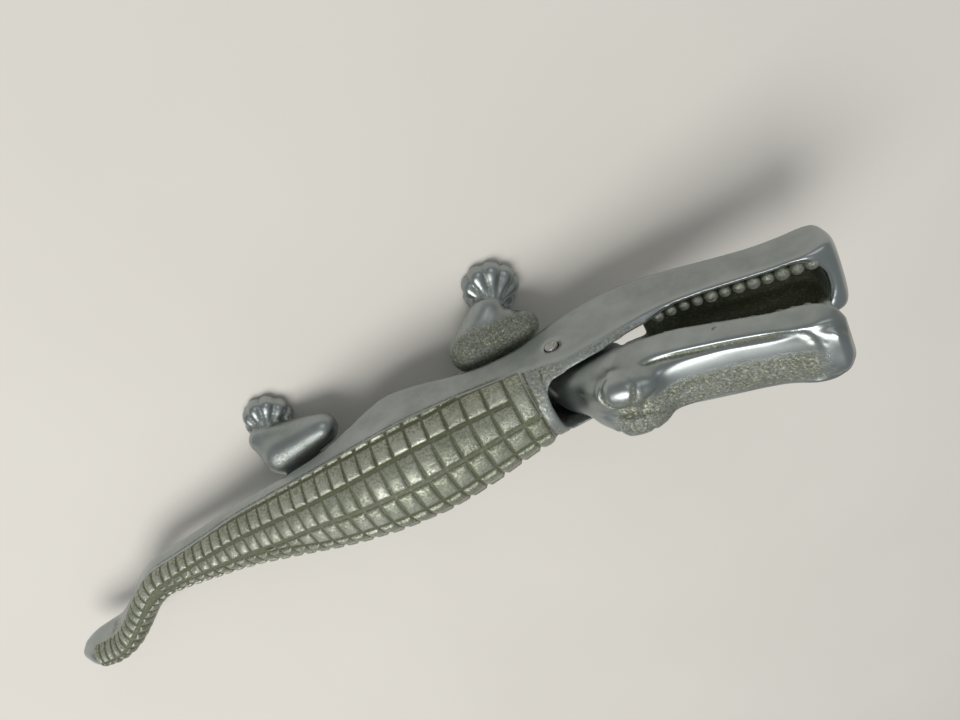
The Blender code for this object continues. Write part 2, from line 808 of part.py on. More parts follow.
def build_foot(side, centre, radius):
    """A rounded paw with a flat sole, whose toes are ridges that fan out from the wrist."""
    below_ground = -SOLE_TRIM / FOOT_HEIGHT
    profile = [(0.86, below_ground), (0.92, 0.0), (1.0, 0.27), (0.99, 0.5)]
    profile += [(0.9, 0.74), (0.7, 0.92), (0.4, 1.0)]
    ahead = Vector((math.sin(FOOT_TURN), side * math.cos(FOOT_TURN)))
    out = Vector((math.cos(FOOT_TURN), -side * math.sin(FOOT_TURN)))
    rings = []
    for reach, rise in profile:
        depth = TOE_GROOVE * blend(0.3, 0.8, reach)
        pole = Vector(centre) - ahead * 0.45 * radius * (1 - reach)
        ring = []
        for turn, ridge in paw_spokes():
            inside_fan = 1 - blend(0.5 * TOE_FAN - 0.1, 0.5 * TOE_FAN + 0.35, abs(turn))
            groove = depth * (1 - ridge) * inside_fan
            spoke = ahead * math.cos(turn) + out * math.sin(turn)
            point = pole + spoke * radius * reach * (1 - groove)
            ring.append(Vector((point.x, point.y, FOOT_HEIGHT * rise * (1 - 0.5 * groove) - PIN_HEIGHT)))
        rings.append(ring)
    return loft_object("foot_form", rings, helper=True)


def under_hem(x, side, radius):
    """The centre of a limb's end that is sunk in the belly bar's side and lies clear below the hem."""
    out = BELLY_HALF_WIDTH + radius - LIMB_SINK
    return (x, side * out, hem_height(x) - LIMB_CLEARANCE - radius)


def build_front_leg(side):
    """Upper arm back from the shoulder to the elbow, forearm out to the paw."""
    foot_x, foot_y = FRONT_FOOT
    shoulder = under_hem(SHOULDER_X, side, SHOULDER_RADIUS)
    elbow = under_hem(ELBOW_X, side, ELBOW_RADIUS)
    wrist = (foot_x - 4.4, side * (foot_y - 4.1), 8.0 - PIN_HEIGHT)
    return [
        limb("upper_arm_form", shoulder, elbow, SHOULDER_RADIUS, ELBOW_RADIUS),
        limb("forearm_form", elbow, wrist, ELBOW_RADIUS, WRIST_RADIUS),
        build_foot(side, (foot_x, side * foot_y), FRONT_FOOT_RADIUS),
    ]


def build_rear_leg(side):
    """Thigh under the hem, knee forward, shin back to the heel. The right one steps out further."""
    foot_x, foot_y = REAR_FOOT
    if side < 0:
        foot_x += RIGHT_REAR_STRIDE
        foot_y += RIGHT_REAR_SPLAY
    hip = under_hem(body(0.91), side, HIP_RADIUS)
    knee = (body(0.755), side * (hip[1] * side + 1.0), 13.0 - PIN_HEIGHT)
    heel = (foot_x - 4.4, side * (foot_y - 3.6), 7.4 - PIN_HEIGHT)
    return [
        limb("thigh_form", hip, knee, HIP_RADIUS, KNEE_RADIUS),
        limb("haunch_form", hip, heel, HIP_RADIUS, HEEL_RADIUS),
        limb("shin_form", knee, heel, KNEE_RADIUS, HEEL_RADIUS),
        build_foot(side, (foot_x, side * foot_y), REAR_FOOT_RADIUS),
    ]


def build_sole_cutter():
    """Everything below the ground, so that all four soles are flat and level."""
    length = 2 * (TAIL_REACH + JAW_REACH)
    bm = bmesh.new()
    bmesh.ops.create_cube(bm, size=1.0)
    for vert in bm.verts:
        x, y, z = vert.co
        vert.co = Vector((x * length, y * length, (z - 0.5) * PIN_HEIGHT - PIN_HEIGHT))
    return finish_mesh("sole_cutter", bm, helper=True)


def build_pin(material):
    """The rivet: a plain shank whose peened ends stand a little proud, each with a dimple."""
    outside = half_width(0.0) + PIN_PROUD
    dimple = 0.45
    end = [
        (outside - 0.4, PIN_RADIUS),
        (outside, 0.8 * PIN_RADIUS),
        (outside, 0.55 * PIN_RADIUS),
        (outside - dimple, 0.35 * PIN_RADIUS),
    ]
    profile = [(-y, r) for y, r in reversed(end)] + end
    return lathe("pivot_pin", profile, 24, material=material)


def main():
    for obj in list(bpy.data.objects):
        bpy.data.objects.remove(obj)
    worn_casting = principled("worn_cast_aluminium", (0.55, 0.56, 0.50), 0.38)
    smooth_casting = principled("smooth_cast_aluminium", (0.58, 0.59, 0.55), 0.32)
    steel = principled("rivet_steel", (0.50, 0.47, 0.44), 0.35)
    left_reach = FRONT_FOOT[1] + FRONT_FOOT_RADIUS
    right_reach = REAR_FOOT[1] + RIGHT_REAR_SPLAY + REAR_FOOT_RADIUS
    hinge = bpy.data.objects.new("hinge_axis", None)
    bpy.context.scene.collection.objects.link(hinge)
    hinge.location = Vector((TAIL_REACH - JAW_REACH, right_reach - left_reach, 2 * PIN_HEIGHT)) / 2 * MM
    for piece in (build_leg_lever(smooth_casting), build_tail_lever(worn_casting), build_pin(steel)):
        piece.parent = hinge
        piece.data.shade_smooth()
        piece.data.set_sharp_from_angle(angle=math.radians(35.0))


main()
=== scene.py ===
"""Looks of the crocodile lever nutcracker: two worn aluminium castings, their teeth, scutes and rivet.

Shapes are made in millimetres from the hinge pin's axis, X towards the snout, Y to the crocodile's
left and Z up, and are moved to their place in metres when the mesh is made.
"""

import json
import math

import bmesh
import bpy
import numpy as np
from mathutils import Matrix, Vector


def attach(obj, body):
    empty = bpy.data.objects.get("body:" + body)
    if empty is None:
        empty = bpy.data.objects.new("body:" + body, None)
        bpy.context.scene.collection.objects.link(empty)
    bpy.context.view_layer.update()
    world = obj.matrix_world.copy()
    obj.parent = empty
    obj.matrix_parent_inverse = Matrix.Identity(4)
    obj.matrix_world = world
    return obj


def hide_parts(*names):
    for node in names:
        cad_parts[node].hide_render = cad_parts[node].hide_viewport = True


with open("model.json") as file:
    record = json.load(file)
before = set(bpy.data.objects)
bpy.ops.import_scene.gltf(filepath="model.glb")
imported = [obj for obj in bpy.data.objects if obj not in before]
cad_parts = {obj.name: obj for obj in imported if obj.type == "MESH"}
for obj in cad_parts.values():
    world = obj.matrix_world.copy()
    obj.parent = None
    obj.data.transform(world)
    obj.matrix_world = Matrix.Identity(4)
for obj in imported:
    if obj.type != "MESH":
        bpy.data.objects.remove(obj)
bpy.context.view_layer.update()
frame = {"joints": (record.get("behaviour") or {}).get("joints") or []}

MM = 0.001
PIN = Vector(frame["joints"][0]["pos_m"])
PIN_HEIGHT = PIN.z / MM

# Tail lever
JAW_REACH = 79.0
BODY_REACH = 99.0
TAIL_REACH = 190.0
WALL = 3.0
BACK_HALF_WIDTH = 16.0
COLLAR_HALF_WIDTH = 12.2
COLLAR_RISE = 12.0
COLLAR_BACK = -10.0
TAIL_HALF_WIDTH = 4.1
TAIL_TIP_ROUND = 4.5
TAIL_SWAY = 14.0
SWAY_START = 0.5
SWAY_END = 0.835
HOLLOW_REACH = BODY_REACH + 1.0
HEM_ROUND = 1.6
JAW_HALF_WIDTH = 11.6
JAW_FLOOR = 4.0
SLOT_FRONT = 27.0
VISOR = 7.8
TROUGH_FLARE = 1.6
OUTER_LIP_DEGREES = (2.0, 178.0)
OUTER_LIP = {"width": 0.5, "height": 0.4, "ends": 6.0}

# Scutes
ROWS = 7
SCUTE_FRONT_PITCH = 7.0
SCUTE_REAR_PITCH = 2.4
FIRST_RING_GAP = 1.6
SCUTE_HEIGHT = 0.9
RING_GROOVE = 0.4
ROW_GROOVE = 1.0
SCUTE_BEVEL = 0.9
SCUTE_END = TAIL_REACH - 9.0
SCUTE_HEIGHT_SHARE = 0.22
SCUTE_HEIGHT_DRAW = (0.8, 1.1)
FULL_GROOVE_PITCH = 5.0
MOST_INSET = 0.36
NARROWEST_ROW = 1.5
SCUTE_TILT = 0.3
SCUTE_SKIRT = ((0.72, 0.6), (0.4, 0.36), (0.12, 0.08), (0.0, -0.2), (0.0, -1.1))

# Head, along the pitched snout
SIDE_GAP = 0.4
NECK_HALF_WIDTH = COLLAR_HALF_WIDTH - WALL - SIDE_GAP
HEAD_PITCH = math.radians(29.0)
HEAD_BACK = 9.5
SNOUT_REACH = 77.4
SNOUT_HALF_WIDTH = 11.0
EYE_ALONG = 21.5
EYE_ACROSS = 7.9
EYE_UP = 19.9
EYE_RADIUS = 4.3
BROW_REACH = 12.0
NOSTRIL_RADIUS = 2.3
PALATE_DEPTH = 4.0
LIP_CREASE = {"width": 0.75, "height": -0.65, "ends": 6.0}
BROW_FOLD = (
    (12.0, -1.0, 21.0),
    (15.0, -1.0, 21.0),
    (18.0, -1.0, 21.0),
    (21.5, -1.0, 21.0),
    (25.0, -0.5, 21.0),
    (28.0, 1.0, 19.5),
    (30.0, 3.4, 17.5),
    (31.5, 5.6, 15.6),
)
NOSTRIL_FOLDS = (
    (((10.5, 8.2, -0.6), (8.2, 6.6, 0.0), (7.4, 4.0, 0.2)), 0.9, 0.4),
    (((5.6, 5.2, 0.4), (4.6, 3.2, 0.5)), 0.45, 0.3),
    (((3.4, 6.6, -0.4), (2.8, 5.0, 0.0)), 0.4, 0.25),
)

# The neck where it comes up out of the collar: height, front, back, share of the neck's width
NECK_RAMP = (
    (-4.0, -5.0, 5.0, 0.6),
    (-2.0, -6.6, 8.0, 0.85),
    (2.0, -7.6, 11.0, 1.0),
    (6.0, -7.6, 12.0, 1.0),
    (10.0, -7.3, 14.0, 1.0),
    (12.0, -6.1, 15.0, 1.0),
    (13.2, -4.5, 16.0, 1.0),
    (14.2, -3.1, 17.0, 1.0),
    (15.4, -1.9, 18.0, 1.0),
    (17.0, -0.6, 18.0, 1.0),
    (19.0, 1.2, 18.0, 0.95),
    (21.5, 4.5, 16.0, 0.8),
)

# Belly bar and legs
BOSS_RADIUS = 7.4
BELLY_HALF_WIDTH = 8.0
BELLY_TOP = -11.0
BELLY_BOTTOM = -20.0
BELLY_REACH = BODY_REACH - 3.0
SEAT_GAP = 0.35
LIMB_SINK = 1.5
LIMB_CLEARANCE = 2.6
SHOULDER_X = -4.5
SHOULDER_RADIUS = 5.2
ELBOW_X = -22.5
ELBOW_RADIUS = 6.6
WRIST_RADIUS = 5.2
WRIST_HEIGHT = 8.0
WRIST_INSET = 4.1
ARMPIT_HEIGHT = 11.5
ARMPIT_BACK = 2.5
ARMPIT_RADII = (6.6, 4.6, 5.0)
HIP_SHARE = 0.91
HIP_RADIUS = 7.2
KNEE_SHARE = 0.755
KNEE_RADIUS = 5.0
KNEE_HEIGHT = 13.0
HEEL_RADIUS = 4.4
HEEL_HEIGHT = 7.4
HEEL_INSET = 3.6
BEHIND_PAW = 4.4
FRONT_FOOT = (-7.6, 22.6)
FRONT_FOOT_RADIUS = 9.2
REAR_FOOT = (-90.0, 22.5)
REAR_FOOT_RADIUS = 8.0
RIGHT_REAR_STRIDE = 5.5
RIGHT_REAR_SPLAY = 8.0
FOOT_HEIGHT = 9.6
FOOT_TURN = math.radians(30.0)
TOES = 5
TOE_FAN = math.radians(205.0)
TOE_GROOVE = 0.15
WRIST_CREASE = {"width": 0.5, "height": -0.45, "ends": 3.0}
WRIST_CREASE_GAP = 0.24

# A paw from its sole up: share of the radius, share of the height
PAW_PROFILE = (
    (0.88, 0.0),
    (0.95, 0.03),
    (1.0, 0.12),
    (1.0, 0.26),
    (0.98, 0.38),
    (0.94, 0.48),
    (0.87, 0.56),
    (0.77, 0.61),
    (0.66, 0.65),
    (0.54, 0.71),
    (0.42, 0.79),
    (0.3, 0.88),
    (0.16, 0.95),
)

# Teeth and rivet
TEETH_PER_SIDE = 12
LOWER_TEETH = (1.75, 2.2)
UPPER_TEETH = (1.0, 1.5)
TOOTH_DRAW = (0.9, 1.1)
TOOTH_WIDTH_SHARE = 0.92
PIN_RADIUS = 2.0
BORE_PLAY = 0.2

# Fineness of the castings' skins
TAIL_LEVER_VOXEL = 0.55
LEG_LEVER_VOXEL = 0.45
MOST_TRIANGLES = 190000

# How far the dark film covers each zone, and how pitted its skin is; in the eye creases it is film and
# painted shade
TROUGH_FILM = 0.95
TROUGH_PITS = 0.3
RIM_FILM = 0.38
COLLAR_PITS = 0.45
HEAD_FILM = 0.55
MOUTH_FILM = 0.75
LIMB_FILM = 0.18
ELBOW_FILM = 0.42
NEAR_EYE_FILM_AND_SHADE = 0.8
FAR_EYE_FILM_AND_SHADE = 0.3

# Table top
TABLE_ROUGHNESS = 0.65
TABLE_SHEEN = 0.2
TABLE_SHADES = ((0.70, 0.67, 0.62, 1), (0.78, 0.75, 0.70, 1))
TABLE_DROP = 0.2

# Finishes: how rough and how shiny, then colours of light
ROUGHEST = 0.6
SHEEN = 0.3
RELIEF = 0.7
METAL_LOST_UNDER_FILM = 0.85
OLIVE_FILM = (0.125, 0.13, 0.078)
BROWN_FILM = (0.12, 0.12, 0.09)
GOLDEN_GRAIN = (0.72, 0.69, 0.49)
STEEL_GRAIN = (0.6, 0.58, 0.5)


def add_object(name, data):
    """A new object in the scene, with its mesh, camera or lamp."""
    obj = bpy.data.objects.new(name, data)
    bpy.context.scene.collection.objects.link(obj)
    return obj


def bmesh_object(name, bm):
    """A new object from an edited mesh, which is freed."""
    mesh = bpy.data.meshes.new(name)
    bm.to_mesh(mesh)
    bm.free()
    return add_object(name, mesh)


def make_camera():
    """The photograph's camera, as azimuth, elevation and roll round the view, with its focal length."""
    azimuth = math.radians(169.112)
    elevation = math.radians(57.263)
    roll = math.radians(200.534)
    place = Vector((4.575, 143.57, 227.991 - PIN_HEIGHT))
    focal_px = 821.99
    frame_width_px = 960
    back = Vector(
        (
            math.sin(azimuth) * math.cos(elevation),
            -math.cos(azimuth) * math.cos(elevation),
            math.sin(elevation),
        )
    )
    right = (-back).cross(Vector((0, 0, 1))).normalized()
    down = (-back).cross(right)
    across = math.cos(roll) * right + math.sin(roll) * down
    up = math.sin(roll) * right - math.cos(roll) * down
    camera = add_object("camera", bpy.data.cameras.new("camera"))
    camera.data.sensor_width = 36.0
    camera.data.lens = focal_px * camera.data.sensor_width / frame_width_px
    camera.data.clip_start = 0.01
    turn = Matrix((across, up, back)).transposed()
    camera.matrix_world = Matrix.Translation(PIN + place * MM) @ turn.to_4x4()
    bpy.context.scene.camera = camera


def curve(points):
    """A smooth function through (position, value) pairs: cubic pieces with Catmull-Rom slopes."""
    xs = np.array([p[0] for p in points], float)
    ys = np.array([p[1] for p in points], float)
    slopes = np.gradient(ys, xs)

    def value(x):
        x = min(max(x, xs[0]), xs[-1])
        i = min(int(np.searchsorted(xs, x, side="right")) - 1, len(xs) - 2)
        step = xs[i + 1] - xs[i]
        t = (x - xs[i]) / step
        near = (1 + 2 * t) * (1 - t) ** 2 * ys[i] + t * (1 - t) ** 2 * step * slopes[i]
        far = t * t * (3 - 2 * t) * ys[i + 1] + t * t * (t - 1) * step * slopes[i + 1]
        return float(near + far)

    return value


def blend(start, end, x):
    """Zero before start, one after end, and a smooth step between them."""
    t = np.clip((x - start) / (end - start), 0.0, 1.0)
    return t * t * (3 - 2 * t)


def sampled(function, start, end, count, x):
    """A function of one station read at every x, from even samples between start and end."""
    stations = np.linspace(start, end, count)
    return np.interp(x, stations, [function(station) for station in stations])


def body(share):
    """X of a station between the pin (0) and the end of the body behind the rear legs (1)."""
    return -share * BODY_REACH


def tail(share):
    """X of a station between the end of the body (0) and the tip of the tail (1)."""
    return -BODY_REACH - share * (TAIL_REACH - BODY_REACH)


def jaw(share):
    """X of a station between the pin (0) and the tip of the lower jaw (1)."""
    return share * JAW_REACH


def swell(share):
    """A half width between the tail's (0) and the back's (1)."""
    return TAIL_HALF_WIDTH + share * (BACK_HALF_WIDTH - TAIL_HALF_WIDTH)


half_width = curve(
    [
        (tail(1), 0.12 * TAIL_HALF_WIDTH),
        (tail(1) + 0.27 * TAIL_TIP_ROUND, 0.55 * TAIL_HALF_WIDTH),
        (tail(1) + TAIL_TIP_ROUND, 0.9 * TAIL_HALF_WIDTH),
        (tail(1) + 2.6 * TAIL_TIP_ROUND, TAIL_HALF_WIDTH),
        (tail(0.54), swell(0.05)),
        (tail(0.32), swell(0.22)),
        (tail(0.14), swell(0.43)),
        (body(1), swell(0.58)),
        (body(0.86), swell(0.76)),
        (body(0.67), swell(0.93)),
        (body(0.5), BACK_HALF_WIDTH),
        (body(0.32), 0.35 * COLLAR_HALF_WIDTH + 0.65 * BACK_HALF_WIDTH),
        (body(0.17), 0.87 * COLLAR_HALF_WIDTH + 0.13 * BACK_HALF_WIDTH),
        (COLLAR_BACK, COLLAR_HALF_WIDTH),
        (0, COLLAR_HALF_WIDTH - 0.1),
        (jaw(0.25), JAW_HALF_WIDTH + 0.2),
        (jaw(0.53), JAW_HALF_WIDTH),
        (jaw(0.76), 0.95 * JAW_HALF_WIDTH),
        (JAW_REACH - 10, 0.96 * JAW_HALF_WIDTH),
        (JAW_REACH - 4.5, 0.98 * JAW_HALF_WIDTH),
        (JAW_REACH - 1.3, 0.9 * JAW_HALF_WIDTH),
        (JAW_REACH, 0.66 * JAW_HALF_WIDTH),
    ]
)
ridge_height = curve(
    [
        (tail(1), -14.5),
        (tail(1) + TAIL_TIP_ROUND, -12.8),
        (tail(0.67), -12.0),
        (tail(0.48), -11.5),
        (tail(0.32), -10.5),
        (tail(0.14), -8.8),
        (body(1), -6.2),
        (body(0.86), -3.0),
        (body(0.67), 0.0),
        (body(0.5), 1.5),
        (body(0.32), 2.3),
        (body(0.17), 2.8),
        (COLLAR_BACK, 3.2),
        (-5, 4.8),
        (1, 6.8),
        (jaw(0.13), 7.2),
        (jaw(0.25), 6.9),
        (jaw(0.39), 8.0),
        (jaw(0.53), 11.2),
        (jaw(0.66), 14.8),
        (jaw(0.8), 18.4),
        (JAW_REACH - 7, 20.2),
        (JAW_REACH - 2.5, 18.6),
        (JAW_REACH, 14.4),
    ]
)
arch_rise = curve(
    [
        (tail(1), 0.6),
        (tail(1) + TAIL_TIP_ROUND, 0.9 * TAIL_HALF_WIDTH),
        (tail(0.67), 1.3 * TAIL_HALF_WIDTH),
        (tail(0.48), 1.45 * TAIL_HALF_WIDTH),
        (tail(0.32), swell(0.26)),
        (tail(0.14), swell(0.41)),
        (body(1), swell(0.56)),
        (body(0.67), swell(0.92)),
        (body(0.5), BACK_HALF_WIDTH),
        (body(0.32), BACK_HALF_WIDTH - 1.6),
        (body(0.17), COLLAR_RISE + 0.6),
        (COLLAR_BACK, COLLAR_RISE),
        (-5, 0.84 * COLLAR_RISE),
        (1, 0.55 * COLLAR_RISE),
        (jaw(0.13), 5.6),
        (jaw(0.25), 4.8),
        (jaw(0.39), 2.4),
        (jaw(0.53), 1.0),
        (jaw(0.8), 0.6),
        (JAW_REACH - 7, 1.4),
        (JAW_REACH - 2.5, 1.6),
        (JAW_REACH, 0.6),
    ]
)
hem_height = curve(
    [
        (tail(1), -17.0),
        (tail(1) + TAIL_TIP_ROUND, -19.2),
        (tail(0.67), -19.6),
        (tail(0.48), -19.0),
        (tail(0.32), -17.4),
        (tail(0.14), -15.4),
        (body(1), -12.6),
        (body(0.89), -10.2),
        (body(0.77), -9.2),
        (body(0.67), -12.0),
        (body(0.53), -16.0),
        (body(0.4), -13.0),
        (body(0.3), -9.6),
        (body(0.17), -8.2),
        (-8, -8.8),
        (0, -11.2),
        (jaw(0.13), -12.8),
        (jaw(0.25), -12.9),
        (jaw(0.39), -10.3),
        (jaw(0.53), -5.4),
        (jaw(0.66), -0.6),
        (jaw(0.8), 4.0),
        (JAW_REACH - 6, 7.0),
        (JAW_REACH - 2.5, 8.0),
        (JAW_REACH, 9.0),
    ]
)
outer_row_share = curve(
    [
        (tail(0.54), 0.03),
        (tail(0.3), 0.05),
        (tail(0.1), 0.09),
        (body(0.89), 0.1),
        (body(0.78), 0.1),
        (body(0.5), 0.12),
        (body(0.4), 0.11),
        (body(0.33), 0.07),
        (body(0.27), 0.03),
        (COLLAR_BACK, 0.02),
    ]
)
middle_row_share = curve(
    [
        (tail(0.65), 0.97),
        (tail(0.54), 0.83),
        (tail(0.4), 0.67),
        (tail(0.14), 0.57),
        (body(0.96), 0.52),
        (body(0.8), 0.48),
        (body(0.55), 0.44),
        (COLLAR_BACK, 0.46),
    ]
)
spine_row_share = curve(
    [
        (tail(0.65), 0.99),
        (tail(0.14), 0.965),
        (tail(0.01), 0.93),
        (body(0.89), 0.85),
        (body(0.7), 0.83),
        (COLLAR_BACK, 0.83),
    ]
)


def sway(x):
    """The tail's sideways swing: how far its middle lies to the right at this X."""
    return -TAIL_SWAY * float(blend(-tail(SWAY_START), -tail(SWAY_END), -x))


def heading(x):
    """The tail's direction in plan, in radians."""
    return math.atan2(sway(x + 0.5) - sway(x - 0.5), 1.0)


def swung(x, y, z):
    """A point of the tail lever's straight section at X, after the tail's swing."""
    turn = heading(x)
    return (x - y * math.sin(turn), sway(x) + y * math.cos(turn), z)


def rim_height(x):
    """Height of the lower jaw's rim at X."""
    return ridge_height(x) + 0.5 * arch_rise(x)


def row_lines(x, ring):
    """The eight angles round the arch between which the rows of scutes lie.

    The first ring, behind the collar, has one wide row a side.
    """
    inner = (outer_row_share(x), middle_row_share(x)) if ring else (0.01, 0.02)
    shares = (0.0, *inner, spine_row_share(x))
    near = [share * math.pi / 2 for share in shares]
    return near + [math.pi - angle for angle in reversed(near)]


def scute_lines():
    """Where the ring grooves lie, from the collar back, with a pitch that shrinks to the tail."""
    lines = [COLLAR_BACK]
    while -lines[-1] < SCUTE_END:
        done = (-lines[-1] + COLLAR_BACK) / (SCUTE_END + COLLAR_BACK)
        shrink = min(1.0, done ** 0.8)
        lines.append(lines[-1] - SCUTE_FRONT_PITCH - (SCUTE_REAR_PITCH - SCUTE_FRONT_PITCH) * shrink)
    return lines


def mesh_object(name, points, faces):
    """A mesh object from points in millimetres about the pin."""
    mesh = bpy.data.meshes.new(name)
    mesh.from_pydata(np.asarray(points, float).tolist(), [], faces)
    return add_object(name, mesh)


def loft(name, rings):
    """A closed body through rings of equal counts, with its faces turned outwards."""
    rings = np.asarray(rings, float)
    rows, count = rings.shape[:2]
    faces = []
    for r in range(rows - 1):
        for i in range(count):
            j = (i + 1) % count
            faces.append((r * count + i, r * count + j, (r + 1) * count + j, (r + 1) * count + i))
    faces.append(tuple(reversed(range(count))))
    faces.append(tuple(range((rows - 1) * count, rows * count)))
    obj = mesh_object(name, rings.reshape(-1, 3), faces)
    bm = bmesh.new()
    bm.from_mesh(obj.data)
    bmesh.ops.triangulate(bm, faces=[face for face in bm.faces if len(face.verts) > 4])
    bmesh.ops.recalc_face_normals(bm, faces=bm.faces)
    bm.to_mesh(obj.data)
    bm.free()
    return obj


def apply_modifiers(obj):
    """Turns the modified shape into the object's own mesh."""
    graph = bpy.context.evaluated_depsgraph_get()
    mesh = bpy.data.meshes.new_from_object(obj.evaluated_get(graph))
    obj.modifiers.clear()
    old = obj.data
    obj.data = mesh
    bpy.data.meshes.remove(old)


def carve(obj, *cutters):
    """Takes closed cutters out of a closed body."""
    for cutter in cutters:
        modifier = obj.modifiers.new(cutter.name, "BOOLEAN")
        modifier.operation = "DIFFERENCE"
        modifier.solver = "MANIFOLD"
        modifier.object = cutter
    apply_modifiers(obj)
    for cutter in cutters:
        bpy.data.objects.remove(cutter)


def join(name, pieces):
    """One object from several."""
    bm = bmesh.new()
    for piece in pieces:
        bm.from_mesh(piece.data)
        bpy.data.objects.remove(piece)
    return bmesh_object(name, bm)


def remesh(obj, voxel):
    """One even skin over all the bodies of the object."""
    modifier = obj.modifiers.new("skin", "REMESH")
    modifier.mode = "VOXEL"
    modifier.voxel_size = voxel
    apply_modifiers(obj)


def thin_hidden(obj, hidden):
    """Joins triangles in the hidden parts of a casting until it has no more than MOST_TRIANGLES."""
    count = sum(len(face.vertices) - 2 for face in obj.data.polygons)
    group = obj.vertex_groups.new(name="hidden")
    group.add(np.flatnonzero(hidden).tolist(), 1.0, "REPLACE")
    modifier = obj.modifiers.new("thin", "DECIMATE")
    modifier.vertex_group = group.name
    modifier.ratio = min(1.0, MOST_TRIANGLES / count)
    apply_modifiers(obj)
    obj.vertex_groups.clear()


def about_axis(points, centre, facing):
    """How far each point lies along an axis and from it, and how much of that is to the left."""
    offset = points - centre
    out = offset @ facing
    around = np.linalg.norm(offset - out[:, None] * facing, axis=1)
    return out, around, offset[:, 1] / np.maximum(around, 0.01)


class Skin:
    """A mesh's points, normals and neighbours as arrays, for smoothing and shaping."""

    def __init__(self, obj):
        self.mesh = obj.data
        count = len(self.mesh.vertices)
        flat = np.empty(count * 3, np.float32)
        self.mesh.vertices.foreach_get("co", flat)
        self.points = flat.reshape(-1, 3).astype(float)
        edges = np.empty(len(self.mesh.edges) * 2, np.int64)
        self.mesh.edges.foreach_get("vertices", edges)
        self.edges = edges.reshape(-1, 2)
        self.degree = np.bincount(edges, minlength=count).astype(float)[:, None]

    def mean(self, values):
        """The mean of each point's neighbours."""
        total = np.zeros_like(values)
        for column in range(values.shape[1]):
            for a, b in ((0, 1), (1, 0)):
                total[:, column] += np.bincount(
                    self.edges[:, a], weights=values[self.edges[:, b], column], minlength=len(values)
                )
        return total / self.degree

    def smooth(self, rounds, weight=1.0, shrink=0.5):
        """Moves points towards their neighbours' mean, where the weight is."""
        weight = np.broadcast_to(np.asarray(weight, float).reshape(-1, 1), (len(self.points), 1))
        for _ in range(rounds):
            self.points += shrink * weight * (self.mean(self.points) - self.points)

    def fair(self, rounds, weight=1.0):
        """Smooths without shrinking: each inward step is followed by a slightly larger outward one."""
        for _ in range(rounds):
            self.smooth(1, weight, 0.5)
            self.smooth(1, weight, -0.52)

    def write(self):
        """Puts the points back into the mesh."""
        self.mesh.vertices.foreach_set("co", self.points.astype(np.float32).ravel())
        self.mesh.update()

    def normals(self):
        """The way each point faces."""
        self.write()
        flat = np.empty(len(self.points) * 3, np.float32)
        self.mesh.vertex_normals.foreach_get("vector", flat)
        return flat.reshape(-1, 3).astype(float)

    def bend(self, rounds):
        """How far each point stands out of its smoothed surroundings, in millimetres."""
        smoothed = self.points.copy()
        for _ in range(rounds):
            smoothed += 0.7 * (self.mean(smoothed) - smoothed)
        return np.sum((self.points - smoothed) * self.normals(), axis=1)

    def stroke(self, line, width, height, ends=1.0):
        """Raises a soft ridge along a line of points, or sinks a crease where the height is negative."""
        line = np.asarray(line, float)
        legs = np.diff(line, axis=0)
        lengths = np.linalg.norm(legs, axis=1)
        travelled = np.concatenate([[0.0], np.cumsum(lengths)])
        low = line.min(axis=0) - 3 * width
        high = line.max(axis=0) + 3 * width
        near = np.flatnonzero(np.all((self.points > low) & (self.points < high), axis=1))
        points = self.points[near]
        nearest = np.full(len(points), np.inf)
        along = np.zeros(len(points))
        for start, leg, length, before in zip(line, legs, lengths, travelled):
            share = np.clip((points - start) @ leg / length**2, 0.0, 1.0)
            distance = np.linalg.norm(points - start - share[:, None] * leg, axis=1)
            closer = distance < nearest
            nearest[closer] = distance[closer]
            along[closer] = before + share[closer] * length
        fade = np.minimum(blend(0.0, ends, along), 1 - blend(travelled[-1] - ends, travelled[-1], along))
        lift = height * np.exp(-((nearest / width) ** 2)) * (0.15 + 0.85 * fade)
        self.points[near] += self.normals()[near] * lift[:, None]

    def onto(self, line):
        """The surface's points nearest to a line's points."""
        return [self.points[np.argmin(np.sum((self.points - np.array(p)) ** 2, axis=1))] for p in line]

    def stamp(self, centre, facing, reach, profile):
        """Moves the surface the way an axis faces, by each point's distance from it and side of it."""
        out, around, leftward = about_axis(self.points, centre, facing)
        near = (around < reach) & (np.abs(out) < reach)
        self.points[near] += profile(around[near], leftward[near])[:, None] * facing

    def mark(self, name, values):
        """Keeps one value for each point, for the materials to read."""
        attribute = self.mesh.attributes.get(name) or self.mesh.attributes.new(name, "FLOAT", "POINT")
        attribute.data.foreach_set("value", np.clip(values, 0, 1).astype(np.float32))

    def mark_wear(self, rounds, reach, film):
        """Marks the hollows, where the dark film stays, and the crests, which are rubbed bright."""
        out = self.bend(rounds)
        self.mark("hollow", -out / reach)
        self.mark("crest", out / reach * (1 - film))
        self.mark("film", film)


def place(obj):
    """Moves a finished shape from millimetres about the pin to its place in metres."""
    obj.data.transform(Matrix.Translation(PIN) @ Matrix.Scale(MM, 4))
    obj.data.shade_smooth()
    return obj


def shell_section(x, arch_points=40, wall_points=10):
    """The tail lever's outline at X, from the middle underneath and round."""
    width = half_width(x)
    ridge = ridge_height(x)
    rise = arch_rise(x)
    hem = hem_height(x)
    corner = min(HEM_ROUND, 0.4 * width, 0.4 * (ridge - hem))
    near = [(0.5 * width, hem)]
    for k in range(5):
        angle = math.radians(-90 + 22.5 * k)
        near.append((width - corner + corner * math.cos(angle), hem + corner + corner * math.sin(angle)))
    for k in range(1, wall_points):
        near.append((width, hem + corner + (ridge - hem - corner) * k / wall_points))
    angles = [math.pi * k / arch_points for k in range(arch_points + 1)]
    arch = [(width * math.cos(a), ridge + rise * math.sin(a)) for a in angles]
    far = [(-y, z) for y, z in reversed(near)]
    return [swung(x, y, z) for y, z in [(0.0, hem)] + near + arch + far]


